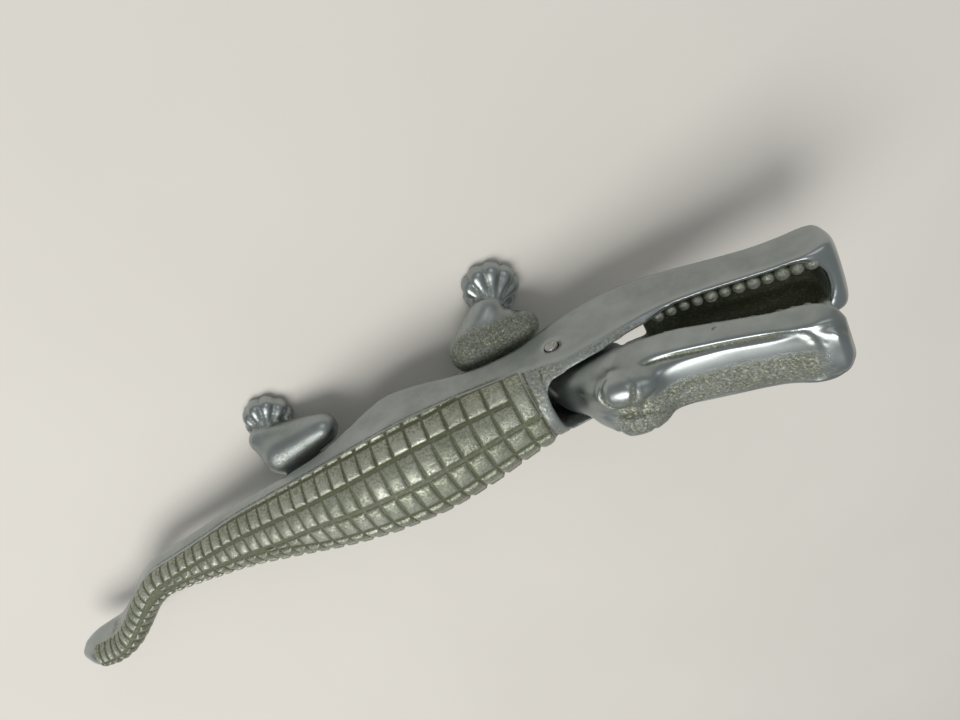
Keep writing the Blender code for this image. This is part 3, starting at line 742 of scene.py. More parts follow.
def spread(start, end, step):
    """Even stations from start to end, no further apart than step."""
    count = max(2, int(math.ceil(abs(end - start) / step)) + 1)
    return list(np.linspace(start, end, count))


def build_hollow_cutter():
    """The space under the back: the outer section less the wall, open downwards."""
    rings = []
    for x in spread(-HOLLOW_REACH, SLOT_FRONT, 2.0):
        shrink = 1 - 0.5 * (1 - float(blend(-HOLLOW_REACH - 1, -HOLLOW_REACH + 14, x)))
        behind = min(x, COLLAR_BACK)
        width = (half_width(x) - WALL) * shrink
        roof = (arch_rise(behind) - WALL) * shrink
        ridge = ridge_height(behind) - (1 - shrink) * 8
        angles = [k * math.pi / 24 for k in range(25)]
        arch = [(width * math.cos(a), ridge + roof * math.sin(a)) for a in angles]
        below = -2 * PIN_HEIGHT
        rings.append([(x, y, z) for y, z in [(width, below), *arch, (-width, below)]])
    return loft("hollow_cutter", rings)


def rounded(points, rounds=3):
    """A closed outline with its corners cut again and again, which rounds them."""
    points = [Vector(p) for p in points]
    for _ in range(rounds):
        finer = []
        for a, b in zip(points, points[1:] + points[:1]):
            finer += [a.lerp(b, 0.25), a.lerp(b, 0.75)]
        points = finer
    return points


def build_neck_slot_cutter():
    """Opens the top between the side walls, with a round end in the collar."""
    width = COLLAR_HALF_WIDTH - WALL
    bulge = 0.55
    half = []
    for k in range(25):
        turn = math.pi / 2 * k / 24
        half.append((-VISOR * math.cos(turn) ** bulge, width * math.sin(turn) ** bulge))
    half += [(SLOT_FRONT - 2.5, width), (SLOT_FRONT - 0.8, width - 0.7), (SLOT_FRONT, width - 2.5)]
    outline = half + [(x, -y) for x, y in reversed(half[1:])]
    return loft("neck_slot_cutter", [[(x, y, z) for x, y in outline] for z in (0.0, JAW_REACH)])


def build_trough_cutter():
    """The lower jaw's trough, open upwards, with a flat floor, a flared rim and a round end in the tip."""
    start = SLOT_FRONT - 4.0
    end = JAW_REACH - 2.2 * WALL
    round_end = 7.0
    rings = []
    for x in spread(start, end - 0.15, 0.8):
        near_end = max(0.0, (x - (end - round_end)) / round_end)
        taper = math.sqrt(1.0 - near_end * near_end)
        width = (half_width(x) - WALL + 0.2) * (0.12 + 0.88 * taper)
        floor = hem_height(x) + JAW_FLOOR + 2.5 * (1 - taper)
        corner = min(3.0, 0.7 * width)
        rim = rim_height(x) - 0.2
        flare = TROUGH_FLARE * float(blend(SLOT_FRONT, SLOT_FRONT + 8.0, x)) * (1 - near_end)
        half = [(width + flare, JAW_REACH), (width + flare, rim)]
        half += [(width, rim - 1.5 * flare), (width, floor + corner)]
        for k in range(1, 6):
            turn = math.pi / 2 * k / 6
            half.append((width - corner * (1 - math.cos(turn)), floor + corner * (1 - math.sin(turn))))
        half.append((0.5 * (width - corner), floor))
        outline = half + [(-y, z) for y, z in reversed(half)]
        rings.append([(x, y, z) for y, z in outline])
    return loft("trough_cutter", rings)


def build_bore(name):
    """The hole that the rivet passes through."""
    angles = [2 * math.pi * k / 32 for k in range(32)]
    reach = 1.5 * COLLAR_HALF_WIDTH
    radius = PIN_RADIUS + BORE_PLAY
    rings = [[(radius * math.cos(a), y, radius * math.sin(a)) for a in angles] for y in (-reach, reach)]
    return loft(name, rings)


def build_tail_lever():
    """The smooth casting of back, tail and lower jaw, which the scutes are set on."""
    tip = [tail(1) + share * TAIL_TIP_ROUND for share in (0.0, 0.06, 0.14, 0.25, 0.4, 0.6, 0.8)]
    jaw_end = [JAW_REACH - before for before in (6.0, 5.0, 4.0, 3.0, 2.0, 1.2, 0.6, 0.2, 0.0)]
    stations = tip + spread(tail(1) + TAIL_TIP_ROUND, JAW_REACH - 7.0, 1.0) + jaw_end
    lever = loft("tail_lever_casting", [shell_section(x) for x in stations])
    bore = build_bore("lever_bore")
    carve(lever, build_hollow_cutter(), build_neck_slot_cutter(), build_trough_cutter(), bore)
    remesh(lever, TAIL_LEVER_VOXEL)
    skin = Skin(lever)
    skin.fair(3)

    # Softened: everything ahead of the collar, the trough, and most of all the jaw's tip
    x, _, z = skin.points.T
    skin.smooth(9, blend(-13.0, -9.0, x))
    skin.smooth(5, inside_jaw(skin.points))
    skin.smooth(26, blend(JAW_REACH - 11.0, JAW_REACH - 6.0, x) * blend(13.0, 16.0, z))
    skin.smooth(12, blend(JAW_REACH - 5.0, JAW_REACH - 2.0, x))

    # Raised and sunk: a lip below the outermost scutes, and the grooves of the collar
    lip = np.arange(-SCUTE_END + 8.0, COLLAR_BACK - 4.0, 2.0)
    for degrees in OUTER_LIP_DEGREES:
        skin.stroke([arch_point(station, degrees) for station in lip], **OUTER_LIP)
    for line, width, depth in collar_grooves():
        skin.stroke(line, width, -depth)
    skin.fair(1)
    film, pitted = lever_zones(skin.points)
    skin.mark_wear(10, 0.1, film)
    skin.mark("pitted", pitted)
    skin.write()
    thin_hidden(lever, under_back(skin.points))
    place(lever)
    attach(lever, "lifting_lever")
    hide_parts("tail_lever")
    return lever


def under_back(points):
    """True on the inside of the hollow back, behind the collar."""
    x, y, z = points.T
    curves = (half_width, ridge_height, arch_rise)
    width, ridge, rise = (sampled(function, -HOLLOW_REACH - 2.0, 0.0, 240, x) for function in curves)
    width = width - WALL + 0.4
    across = np.clip(np.abs(y) / width, 0.0, 1.0)
    roof = ridge + (rise - WALL + 0.4) * np.sqrt(1 - across**2)
    return (x > -HOLLOW_REACH - 1.0) & (x < -12.0) & (np.abs(y) < width) & (z < roof)


def inside_jaw(points):
    """One inside the lower jaw's rim, in the trough, and zero on the jaw's outer sides."""
    x, y, z = points.T
    below = z - sampled(rim_height, 0.0, JAW_REACH, 160, x)
    inside = JAW_HALF_WIDTH - WALL + 1.2
    within = blend(SLOT_FRONT - 5.0, SLOT_FRONT + 1.0, x) * (1 - blend(JAW_REACH - 8.0, JAW_REACH - 5.5, x))
    return within * (1 - blend(inside, inside + 1.0, np.abs(y))) * (1 - blend(-1.6, -0.4, below))


def arch_point(x, degrees, lift=0.0):
    """A point on the back's arch, by its angle up from the left side wall."""
    angle = math.radians(degrees)
    width = half_width(x) + lift
    rise = arch_rise(x) + lift
    return swung(x, width * math.cos(angle), ridge_height(x) + rise * math.sin(angle))


def collar_grooves():
    """The two grooves behind the neck opening: a long one over the top, and a short one at each wall."""
    grooves = []
    long_one = [arch_point(-11.6 + 0.9 * abs(math.cos(math.radians(a))), a) for a in range(4, 177, 6)]
    grooves.append((long_one, 0.42, 0.55))
    for start, end in ((12, 52), (168, 128)):
        steps = np.linspace(start, end, 9)
        short = [arch_point(-6.0 - 1.2 * abs(a - start) / 40, a) for a in steps]
        grooves.append((short, 0.36, 0.42))
    return grooves


def lever_zones(points):
    """Where the dark film covers the tail lever's casting, and where its surface is pitted."""
    x, _, z = points.T
    above = z - sampled(ridge_height, -TAIL_REACH, JAW_REACH, 540, x)
    scuted = (1 - blend(COLLAR_BACK - 2.4, COLLAR_BACK - 1.6, x)) * blend(0.4, 1.0, above)
    scuted = scuted * blend(-SCUTE_END - 1.0, -SCUTE_END + 1.0, x)
    trough = inside_jaw(points)
    rim = blend(-11.4, -10.2, x) * (1 - blend(22.0, 32.0, x)) * blend(0.8, 2.0, above)
    collar = blend(-17.5, -16.0, x) * (1 - blend(-10.0, -8.0, x)) * blend(0.0, 4.0, above)
    film = np.maximum.reduce([scuted, TROUGH_FILM * trough, RIM_FILM * rim, RIM_FILM * collar])
    pitted = np.maximum.reduce([TROUGH_PITS * trough, rim, COLLAR_PITS * collar])
    return film, pitted


def make_guide():
    """The back's surface between the rings and rows, numbered in its UV map: ring along U, row along V."""
    lines = scute_lines()
    lines[0] -= FIRST_RING_GAP
    samples = 4
    rows, us = [], []
    for i, (a, b) in enumerate(zip(lines, lines[1:])):
        for k in range(samples + (i == 0)):
            rows.append(a + (b - a) * k / samples)
            us.append(i + k / samples)
    rows.append(lines[-1])
    us.append(len(lines) - 1)
    per_row = 12
    points = []
    for r, x in enumerate(rows):
        marks = row_lines(x, r > samples)
        width = half_width(x)
        ridge = ridge_height(x)
        rise = arch_rise(x)
        for j in range(ROWS):
            for k in range(per_row + (j == ROWS - 1)):
                angle = marks[j] + (marks[j + 1] - marks[j]) * k / per_row
                points.append(swung(x, width * math.cos(angle), ridge + rise * math.sin(angle)))
    across = ROWS * per_row + 1
    points = np.array(points)
    grid = points.reshape(len(rows), across, 3)
    faces = []
    for r in range(len(rows) - 1):
        if us[r] < us[r + 1]:
            for c in range(across - 1):
                a = r * across + c
                faces.append((a, a + across, a + across + 1, a + 1))
    guide = mesh_object("scute_guide", points, faces)
    uv = guide.data.uv_layers.new(name="cells")
    index = np.empty(len(guide.data.loops), np.int64)
    guide.data.loops.foreach_get("vertex_index", index)
    u = np.array(us)[index // across]
    v = (index % across) / per_row
    uv.data.foreach_set("uv", np.stack([u, v], axis=1).astype(np.float32).ravel())
    cells = [min(int(u), len(lines) - 2) for u in us]
    spans = [lines[cell] - lines[cell + 1] for cell in cells]
    pitch = np.array(spans)[:, None] * np.ones((1, across))
    steps = np.linalg.norm(np.diff(grid, axis=1), axis=2)
    width = np.empty((len(rows), across))
    for j in range(ROWS):
        row = slice(j * per_row, (j + 1) * per_row)
        width[:, row] = steps[:, row].sum(1, keepdims=True)
    width[:, -1] = width[:, -2]
    for name, values in (("pitch", pitch), ("row_width", width)):
        attribute = guide.data.attributes.new(name, "FLOAT", "POINT")
        attribute.data.foreach_set("value", values.astype(np.float32).ravel())
    return guide, len(lines) - 1


def make_scute_cell():
    """One plate in its own square from -1 to 1: a skirt, a sloped side and a domed top."""
    top = [-1.0, -0.8, -0.5, -0.17, 0.17, 0.5, 0.8, 1.0]
    count = len(top)
    bm = bmesh.new()
    inset = bm.verts.layers.float.new("inset")
    lift = bm.verts.layers.float.new("lift")
    slope = bm.verts.layers.float.new("slope")
    grid = []
    for s in top:
        row = []
        for t in top:
            vert = bm.verts.new((s, t, 0.0))
            vert[inset] = 1.0
            vert[lift] = 0.72 + 0.28 * (1 - s * s) * (1 - t * t)
            vert[slope] = t
            row.append(vert)
        grid.append(row)
    for i in range(count - 1):
        for j in range(count - 1):
            bm.faces.new((grid[i][j], grid[i + 1][j], grid[i + 1][j + 1], grid[i][j + 1]))
    border = [grid[i][0] for i in range(count)] + [grid[-1][j] for j in range(1, count)]
    border += [grid[i][-1] for i in reversed(range(count - 1))]
    border += [grid[0][j] for j in reversed(range(1, count - 1))]
    above = border
    for inset_value, lift_value in SCUTE_SKIRT:
        below = []
        for vert in border:
            new = bm.verts.new(vert.co)
            new[inset] = inset_value
            new[lift] = lift_value
            new[slope] = vert[slope] * inset_value
            below.append(new)
        for k in range(len(border)):
            n = (k + 1) % len(border)
            bm.faces.new((above[n], above[k], below[k], below[n]))
        above = below
    bm.faces.new(above)
    bmesh.ops.recalc_face_normals(bm, faces=bm.faces)
    return bmesh_object("scute_cell", bm)


class Tree:
    """A node tree that is built by calls, with sockets found by name."""

    def __init__(self, tree):
        self.tree = tree

    def input(self, name, kind, value=None):
        """A named input of the tree, with its usual value."""
        kind = "NodeSocket" + kind
        socket = self.tree.interface.new_socket(name=name, in_out="INPUT", socket_type=kind)
        if value is not None:
            socket.default_value = value

    def output(self, name, kind):
        """A named output of the tree."""
        kind = "NodeSocket" + kind
        self.tree.interface.new_socket(name=name, in_out="OUTPUT", socket_type=kind)

    def node(self, kind, inputs=None, **settings):
        """A node with its settings, whose inputs are values or other nodes' outputs."""
        made = self.tree.nodes.new(kind)
        for key, value in settings.items():
            setattr(made, key, value)
        for key, value in (inputs or {}).items():
            socket = made.inputs[key]
            if isinstance(value, bpy.types.NodeSocket):
                self.tree.links.new(value, socket)
            else:
                socket.default_value = value
        return made

    def math(self, operation, a, b=0.0, c=0.0, clamp=False):
        """A sum on up to three values."""
        inputs = {0: a, 1: b, 2: c}
        return self.node("ShaderNodeMath", inputs, operation=operation, use_clamp=clamp).outputs[0]

    def attribute(self, name, kind="FLOAT"):
        """A value kept with the geometry's points."""
        found = self.node("GeometryNodeInputNamedAttribute", {"Name": name}, data_type=kind)
        return found.outputs["Attribute"]

    def store(self, geometry, name, value, kind="FLOAT"):
        """The geometry with one more value kept at its points."""
        inputs = {"Geometry": geometry, "Name": name, "Value": value}
        kept = self.node("GeometryNodeStoreNamedAttribute", inputs, data_type=kind, domain="POINT")
        return kept.outputs[0]

    def ranged(self, value, low, high, to_low=0.0, to_high=1.0, smooth=False):
        """A value moved from one range to another, and held inside it."""
        inputs = {0: value, 1: low, 2: high, 3: to_low, 4: to_high}
        kind = "SMOOTHSTEP" if smooth else "LINEAR"
        return self.node("ShaderNodeMapRange", inputs, interpolation_type=kind).outputs[0]

    def noise(self, scale, detail, roughness=0.5):
        """Noise on the object's own coordinates."""
        where = self.node("ShaderNodeTexCoord").outputs["Object"]
        inputs = {"Vector": where, "Scale": scale, "Detail": detail, "Roughness": roughness}
        return self.node("ShaderNodeTexNoise", inputs).outputs[0]

    def mix(self, share, a, b):
        """A blend of two colours."""
        return self.node("ShaderNodeMix", {0: share, 6: a, 7: b}, data_type="RGBA").outputs[2]

    def group(self, tree, inputs):
        """A node group, with its own values."""
        return self.node("ShaderNodeGroup", inputs, node_tree=tree).outputs


def scute_tree():
    """Geometry nodes that set one plate in each cell between the ring and row grooves."""
    tree = bpy.data.node_groups.new("scutes", "GeometryNodeTree")
    t = Tree(tree)
    t.input("Guide", "Geometry")
    t.input("Plate", "Object")
    t.input("Rings", "Int", 10)
    t.input("Ring Groove", "Float", RING_GROOVE)
    t.input("Row Groove", "Float", ROW_GROOVE)
    t.input("Height", "Float", SCUTE_HEIGHT)
    t.input("Bevel", "Float", SCUTE_BEVEL)
    t.input("Narrowest Row", "Float", NARROWEST_ROW)
    t.input("Tilt", "Float", SCUTE_TILT)
    t.input("Seed", "Int", 4)
    t.input("Material", "Material")
    t.output("Geometry", "Geometry")
    given = t.node("NodeGroupInput").outputs
    where = t.node("GeometryNodeInputPosition").outputs[0]

    # One point in the middle of each cell of the guide's map, with its ring, row, size and chance
    size = {"Size X": t.math("SUBTRACT", given["Rings"], 1.0), "Size Y": ROWS - 1.0}
    cells = t.node("GeometryNodeMeshGrid", {**size, "Vertices X": given["Rings"], "Vertices Y": ROWS})
    middle = t.node("ShaderNodeCombineXYZ", {"X": t.math("MULTIPLY", given["Rings"], 0.5), "Y": 0.5 * ROWS})
    shift = {"Geometry": cells.outputs["Mesh"], "Offset": middle.outputs[0]}
    shifted = t.node("GeometryNodeSetPosition", shift).outputs[0]
    points = t.node("GeometryNodeMeshToPoints", {"Mesh": shifted, "Radius": 0.1}).outputs[0]
    cell_map = t.attribute("cells", "FLOAT_VECTOR")

    def sample(value, uv, kind):
        inputs = {"Mesh": given["Guide"], "Value": value, "Source UV Map": cell_map, "Sample UV": uv}
        return t.node("GeometryNodeSampleUVSurface", inputs, data_type=kind).outputs["Value"]

    pitch = sample(t.attribute("pitch"), where, "FLOAT")
    row_width = sample(t.attribute("row_width"), where, "FLOAT")
    points = t.store(points, "cell", where, "FLOAT_VECTOR")
    points = t.store(points, "cell_pitch", pitch)
    points = t.store(points, "cell_width", row_width)
    draw = {2: 0.0, 3: 1.0, "ID": t.node("GeometryNodeInputIndex").outputs[0], "Seed": given["Seed"]}
    chance = t.node("FunctionNodeRandomValue", draw, data_type="FLOAT").outputs[1]
    points = t.store(points, "chance", chance)
    narrow = t.math("LESS_THAN", t.attribute("cell_width"), given["Narrowest Row"])
    kept = t.node("GeometryNodeDeleteGeometry", {"Geometry": points, "Selection": narrow}, domain="POINT")
    plate = t.node("GeometryNodeObjectInfo", {"Object": given["Plate"]}, transform_space="ORIGINAL")
    plates = {"Points": kept.outputs[0], "Instance": plate.outputs["Geometry"]}
    placed = t.node("GeometryNodeInstanceOnPoints", plates)
    real = t.node("GeometryNodeRealizeInstances", {"Geometry": placed.outputs[0]})

    # Each plate's own square is fitted between its grooves
    cell = t.attribute("cell", "FLOAT_VECTOR")
    local = t.node("ShaderNodeVectorMath", {0: where, 1: cell}, operation="SUBTRACT").outputs[0]
    parts = t.node("ShaderNodeSeparateXYZ", {0: local}).outputs
    lead = t.math("MULTIPLY", t.attribute("inset"), given["Bevel"])

    def half_size(groove, span, bevel_share=1.0):
        room = t.math("MULTIPLY_ADD", groove, 0.5, t.math("MULTIPLY", lead, bevel_share))
        share = t.math("DIVIDE", room, span)
        return t.math("SUBTRACT", 0.5, t.math("MINIMUM", share, MOST_INSET))

    pitch = t.attribute("cell_pitch")
    u = t.math("MULTIPLY", parts[0], half_size(given["Ring Groove"], pitch))
    finer = t.math("MULTIPLY", pitch, 1 / FULL_GROOVE_PITCH, clamp=True)
    row_groove = t.math("MULTIPLY", given["Row Groove"], finer)
    v = t.math("MULTIPLY", parts[1], half_size(row_groove, t.attribute("cell_width"), finer))
    fitted = t.node("ShaderNodeCombineXYZ", {"X": u, "Y": v}).outputs[0]
    uv = t.node("ShaderNodeVectorMath", {0: cell, 1: fitted}, operation="ADD").outputs[0]

    # It stands on the guide's surface, with its edge towards the spine a little higher
    surface = sample(where, uv, "FLOAT_VECTOR")
    outward = sample(t.node("GeometryNodeInputNormal").outputs[0], uv, "FLOAT_VECTOR")
    tallest = t.math("MINIMUM", given["Height"], t.math("MULTIPLY", pitch, SCUTE_HEIGHT_SHARE))
    least, most = SCUTE_HEIGHT_DRAW
    uneven = t.math("MULTIPLY_ADD", t.attribute("chance"), most - least, least)
    row = t.node("ShaderNodeSeparateXYZ", {0: cell}).outputs[1]
    from_spine = t.math("SUBTRACT", 0.5 * ROWS, row)
    side = t.node("ShaderNodeClamp", {0: from_spine, 1: -1.0, 2: 1.0}).outputs[0]
    tip = t.math("MULTIPLY", t.math("MULTIPLY", t.attribute("slope"), side), given["Tilt"])
    lift = t.math("MULTIPLY", t.math("MULTIPLY", t.math("ADD", t.attribute("lift"), tip), tallest), uneven)
    offset = t.node("ShaderNodeVectorMath", {0: outward, "Scale": lift}, operation="SCALE").outputs[0]
    laying = {"Geometry": real.outputs[0], "Position": surface, "Offset": offset}
    laid = t.node("GeometryNodeSetPosition", laying)
    dressing = {"Geometry": laid.outputs[0], "Material": given["Material"]}
    dressed = t.node("GeometryNodeSetMaterial", dressing)
    t.node("NodeGroupOutput", {0: dressed.outputs[0]})
    return tree


def nodes_mesh(name, source, tree, values):
    """The plain mesh that a geometry node tree makes from the source object, which is then removed."""
    modifier = source.modifiers.new(name, "NODES")
    modifier.node_group = tree
    for item in tree.interface.items_tree:
        if item.in_out == "INPUT" and item.name in values:
            modifier[item.identifier] = values[item.name]
    graph = bpy.context.evaluated_depsgraph_get()
    mesh = bpy.data.meshes.new_from_object(source.evaluated_get(graph))
    mesh.name = name
    bpy.data.objects.remove(source)
    return add_object(name, mesh)


def build_scutes(material):
    """The plates of the back and tail, each painted lighter on one side and darker on the other."""
    guide, rings = make_guide()
    cell = make_scute_cell()
    values = {"Plate": cell, "Rings": rings, "Material": material}
    plates = nodes_mesh("scutes", guide, scute_tree(), values)
    bpy.data.objects.remove(cell)
    skin = Skin(plates)
    lift, slope = np.empty((2, len(skin.points)), np.float32)
    plates.data.attributes["lift"].data.foreach_get("value", lift)
    plates.data.attributes["slope"].data.foreach_get("value", slope)
    # Painted light on each plate: where the slope is high, its raised top gets a painted highlight and
    # thinner film, and the other side gets heavier film as painted shade. The base film and the dark skirts
    # are the plates' own patina.
    upper = blend(-0.35, 0.7, slope)
    skin.mark("hollow", 1 - blend(-0.1, 0.55, lift))
    skin.mark("crest", 0.55 * blend(0.5, 0.75, lift) * upper)
    skin.mark("film", 0.46 - 0.26 * upper)
    skin.mark("pitted", blend(0.2, 0.7, lift) * (0.2 + 0.8 * upper))
    place(plates)
    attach(plates, "lifting_lever")
    return plates


def head_point(along, across, up):
    """A point of the head: along the pitched snout, to the left, and square to the snout."""
    x = along * math.cos(HEAD_PITCH) - up * math.sin(HEAD_PITCH)
    z = along * math.sin(HEAD_PITCH) + up * math.cos(HEAD_PITCH)
    return Vector((x, across, z))


def head_space(points):
    """Along, across and up of the head for each point: the reverse of head_point."""
    x, y, z = points.T
    along = x * math.cos(HEAD_PITCH) + z * math.sin(HEAD_PITCH)
    up = z * math.cos(HEAD_PITCH) - x * math.sin(HEAD_PITCH)
    return along, y, up


def snout(share):
    """A station along the snout between the back of the head (0) and the nose (1)."""
    return HEAD_BACK + share * (SNOUT_REACH - HEAD_BACK)


snout_width = curve(
    [
        (snout(0), 0.8 * NECK_HALF_WIDTH),
        (snout(0.04), NECK_HALF_WIDTH - 0.3),
        (snout(0.13), NECK_HALF_WIDTH),
        (snout(0.2), 0.91 * SNOUT_HALF_WIDTH),
        (snout(0.29), SNOUT_HALF_WIDTH - 0.1),
        (snout(0.53), SNOUT_HALF_WIDTH),
        (snout(0.75), SNOUT_HALF_WIDTH - 0.5),
        (SNOUT_REACH - 8, 0.97 * SNOUT_HALF_WIDTH),
        (SNOUT_REACH - 4, 0.93 * SNOUT_HALF_WIDTH),
        (SNOUT_REACH - 1.4, 0.8 * SNOUT_HALF_WIDTH),
        (SNOUT_REACH, 0.55 * SNOUT_HALF_WIDTH),
    ]
)
snout_top = curve(
    [
        (snout(0), 10.0),
        (snout(0.04), 16.4),
        (snout(0.1), 18.8),
        (snout(0.19), 18.6),
        (snout(0.28), 17.0),
        (snout(0.37), 13.8),
        (snout(0.53), 11.4),
        (snout(0.73), 10.7),
        (SNOUT_REACH - 9, 10.9),
        (SNOUT_REACH - 4, 11.4),
        (SNOUT_REACH - 1, 10.8),
        (SNOUT_REACH, 9.2),
    ]
)
snout_bottom = curve(
    [
        (snout(0), -2.0),
        (snout(0.1), -0.5),
        (snout(0.19), 1.4),
        (snout(0.29), 1.6),
        (snout(0.53), 2.2),
        (snout(0.75), 2.6),
        (SNOUT_REACH - 4, 3.0),
        (SNOUT_REACH, 4.4),
    ]
)
lip_height = curve(
    [
        (snout(0), 5.0),
        (snout(0.13), 9.0),
        (snout(0.25), 10.8),
        (snout(0.37), 10.6),
        (snout(0.73), 9.8),
        (SNOUT_REACH - 6, 10.4),
        (SNOUT_REACH, 8.0),
    ]
)


def head_section(along):
    """One section of the head: a smooth shoulder behind the eye, a band with a crease over it ahead."""
    width = snout_width(along)
    low = snout_bottom(along)
    lip = lip_height(along)
    top = snout_top(along)
    under = [(0.0, low), (0.55 * width, low), (width - 0.9, low), (width, low + 1.0)]
    shoulder = [
        (width, 0.5 * (low + lip)),
        (width - 0.1, lip - 0.5),
        (width - 0.5, lip + 1.8),
        (width - 1.3, lip + 3.8),
        (width - 2.9, lip + 0.75 * (top - lip)),
        (0.52 * width, top - 0.5),
        (0.28 * width, top),
        (0.0, top - 0.3),
    ]
    band = [
        (width - 0.3, 0.5 * (low + lip)),
        (width - 1.1, lip - 0.4),
        (width - 1.9, lip + 0.1),
        (width - 2.7, lip - 0.2),
        (width - 3.2, lip + 0.55 * (top - lip)),
        (0.6 * width, top - 0.2),
        (0.3 * width, top + 0.1),
        (0.0, top),
    ]
    ahead = float(blend(EYE_ALONG + 1.0, EYE_ALONG + 11.0, along))
    upper = [
        ((1 - ahead) * a[0] + ahead * b[0], (1 - ahead) * a[1] + ahead * b[1])
        for a, b in zip(shoulder, band)
    ]
    half = under + upper
    outline = half + [(-y, z) for y, z in reversed(half) if y]
    return [head_point(along, p.x, p.y) for p in rounded(outline, 2)]


def side_outline():
    """The bar's outline seen from the side: belly end, boss round the pin, neck up to the head."""
    seat_length = 4.0
    outline = [(-BELLY_REACH, BELLY_BOTTOM + 5.0)]
    for x in (-BELLY_REACH, -BELLY_REACH + seat_length, -BELLY_REACH + 2 * seat_length):
        outline.append((x, min(BELLY_TOP, hem_height(x) - SEAT_GAP)))
    outline += [(-30.0, BELLY_TOP), (-17.0, -8.0), (-11.0, -4.5)]
    for k in range(7):
        angle = math.radians(175.0 - k * 15.5)
        outline.append((BOSS_RADIUS * math.cos(angle), BOSS_RADIUS * math.sin(angle)))
    outline += [(2.4, 11.0), (3.2, 16.0), (8.0, 19.0), (17.0, 14.0)]
    outline += [(17.0, 5.0), (12.0, -3.0), (7.0, -8.0)]
    outline += [(0.0, -11.0), (-8.0, -14.5), (-20.0, BELLY_BOTTOM + 0.5), (-30.0, BELLY_BOTTOM)]
    outline += [(-BELLY_REACH + 3 * seat_length, BELLY_BOTTOM)]
    return rounded(outline, 1)


def build_bar():
    """The flat bar of neck and belly, wider at the neck."""
    outline = side_outline()
    rings = []
    edge_round = 1.2
    for side, turns in ((-1, (90, 45, 0)), (1, (0, 45, 90))):
        for turn in turns:
            edge = edge_round * (1 - math.cos(math.radians(turn)))
            drop = edge_round * (1 - math.sin(math.radians(90 - turn)))
            ring = []
            for i, point in enumerate(outline):
                run = (outline[(i + 1) % len(outline)] - outline[i - 1]).normalized()
                inset = point + Vector((run.y, -run.x)) * edge
                width = NECK_HALF_WIDTH if point.x > COLLAR_BACK - 2.0 else BELLY_HALF_WIDTH
                narrowed = width - (edge_round if turn == 90 else 0.4 * drop)
                ring.append((inset.x, side * narrowed, inset.y))
            rings.append(ring)
    return loft("bar_form", rings)


def limb(start, end, start_radius, end_radius, sides=28):
    """A tapered rod with round ends between two (x, y, z) points."""
    start = Vector(start)
    end = Vector(end)
    ahead = (end - start).normalized()
    side = ahead.cross(Vector((0, 0, 1))).normalized()
    up = side.cross(ahead)
    turns = [math.radians(a) for a in (84, 68, 52, 36, 18, 0)]
    stops = [(start, -math.sin(a), math.cos(a), start_radius) for a in turns]
    stops += [(end, math.sin(a), math.cos(a), end_radius) for a in reversed(turns)]
    rings = []
    for centre, shift, share, radius in stops:
        ring = []
        for k in range(sides):
            angle = 2 * math.pi * k / sides
            spoke = side * math.cos(angle) + up * math.sin(angle)
            ring.append(centre + ahead * shift * radius + spoke * share * radius)
        rings.append(ring)
    return loft("limb_form", rings)


def ball(centre, radii, tilt=0.0):
    """An ellipsoid, turned about Y by tilt radians."""
    bm = bmesh.new()
    bmesh.ops.create_uvsphere(bm, u_segments=40, v_segments=24, radius=1.0)
    for vert in bm.verts:
        x = vert.co.x * radii[0]
        y = vert.co.y * radii[1]
        z = vert.co.z * radii[2]
        along = x * math.cos(tilt) - z * math.sin(tilt)
        up = x * math.sin(tilt) + z * math.cos(tilt)
        vert.co = Vector(centre) + Vector((along, y, up))
    return bmesh_object("ball_form", bm)


def build_face():
    """The neck's ramp up from the collar, the ridge across the nose, and the brow mounds."""
    nose_along = SNOUT_REACH - 5.0
    nose = head_point(nose_along, 0.0, snout_top(nose_along) - 0.6)
    nose_radii = (NOSTRIL_RADIUS, 3.1 * NOSTRIL_RADIUS, 0.4 * NOSTRIL_RADIUS)
    made = [build_neck_ramp(), ball(nose, nose_radii, HEAD_PITCH)]
    for side in (1, -1):
        mound = head_point(EYE_ALONG - 1.5, side * 0.48 * SNOUT_HALF_WIDTH, 15.4)
        made.append(ball(mound, (BROW_REACH, 0.44 * BROW_REACH, 0.48 * BROW_REACH), HEAD_PITCH))
    return made


def build_neck_ramp():
    """The neck where it rises out of the collar and runs up into the head, nearly filling the opening."""
    angles = [2 * math.pi * k / 44 for k in range(44)]
    rings = []
    for z, front, back, wide in NECK_RAMP:
        middle = 0.5 * (front + back)
        reach = 0.5 * (back - front)
        width = NECK_HALF_WIDTH * wide
        rings.append([(middle + reach * math.sin(a), width * math.cos(a), z) for a in angles])
    return loft("neck_ramp_form", rings)


def eye_profile(around, leftward, side):
    """An eye's disc with a crease and a lid on its inner side, by the distance from its middle."""
    dome = 0.5 * np.sqrt(np.maximum(0.0, 1 - (around / EYE_RADIUS) ** 2))
    inner = 1 - blend(-0.4, 0.5, side * leftward)
    crease = -(0.12 + 0.5 * inner) * np.exp(-(((around - EYE_RADIUS - 0.25) / 0.45) ** 2))
    lid = 0.45 * inner * np.exp(-(((around - EYE_RADIUS - 1.6) / 0.8) ** 2))
    return (dome + crease + lid) * (1.0 if side > 0 else 0.6)


def lip_fold(side):
    """The long crease over a lip."""
    fold = []
    for along in np.linspace(EYE_ALONG + 3.0, snout(0.86), 40):
        rise = 1 - float(blend(EYE_ALONG + 3.0, EYE_ALONG + 12.0, along))
        inset = 2.6 - 0.6 * rise if side > 0 else 1.0
        up = lip_height(along) + 0.2 + 1.4 * rise
        fold.append(head_point(along, side * (snout_width(along) - inset), up))
    return fold


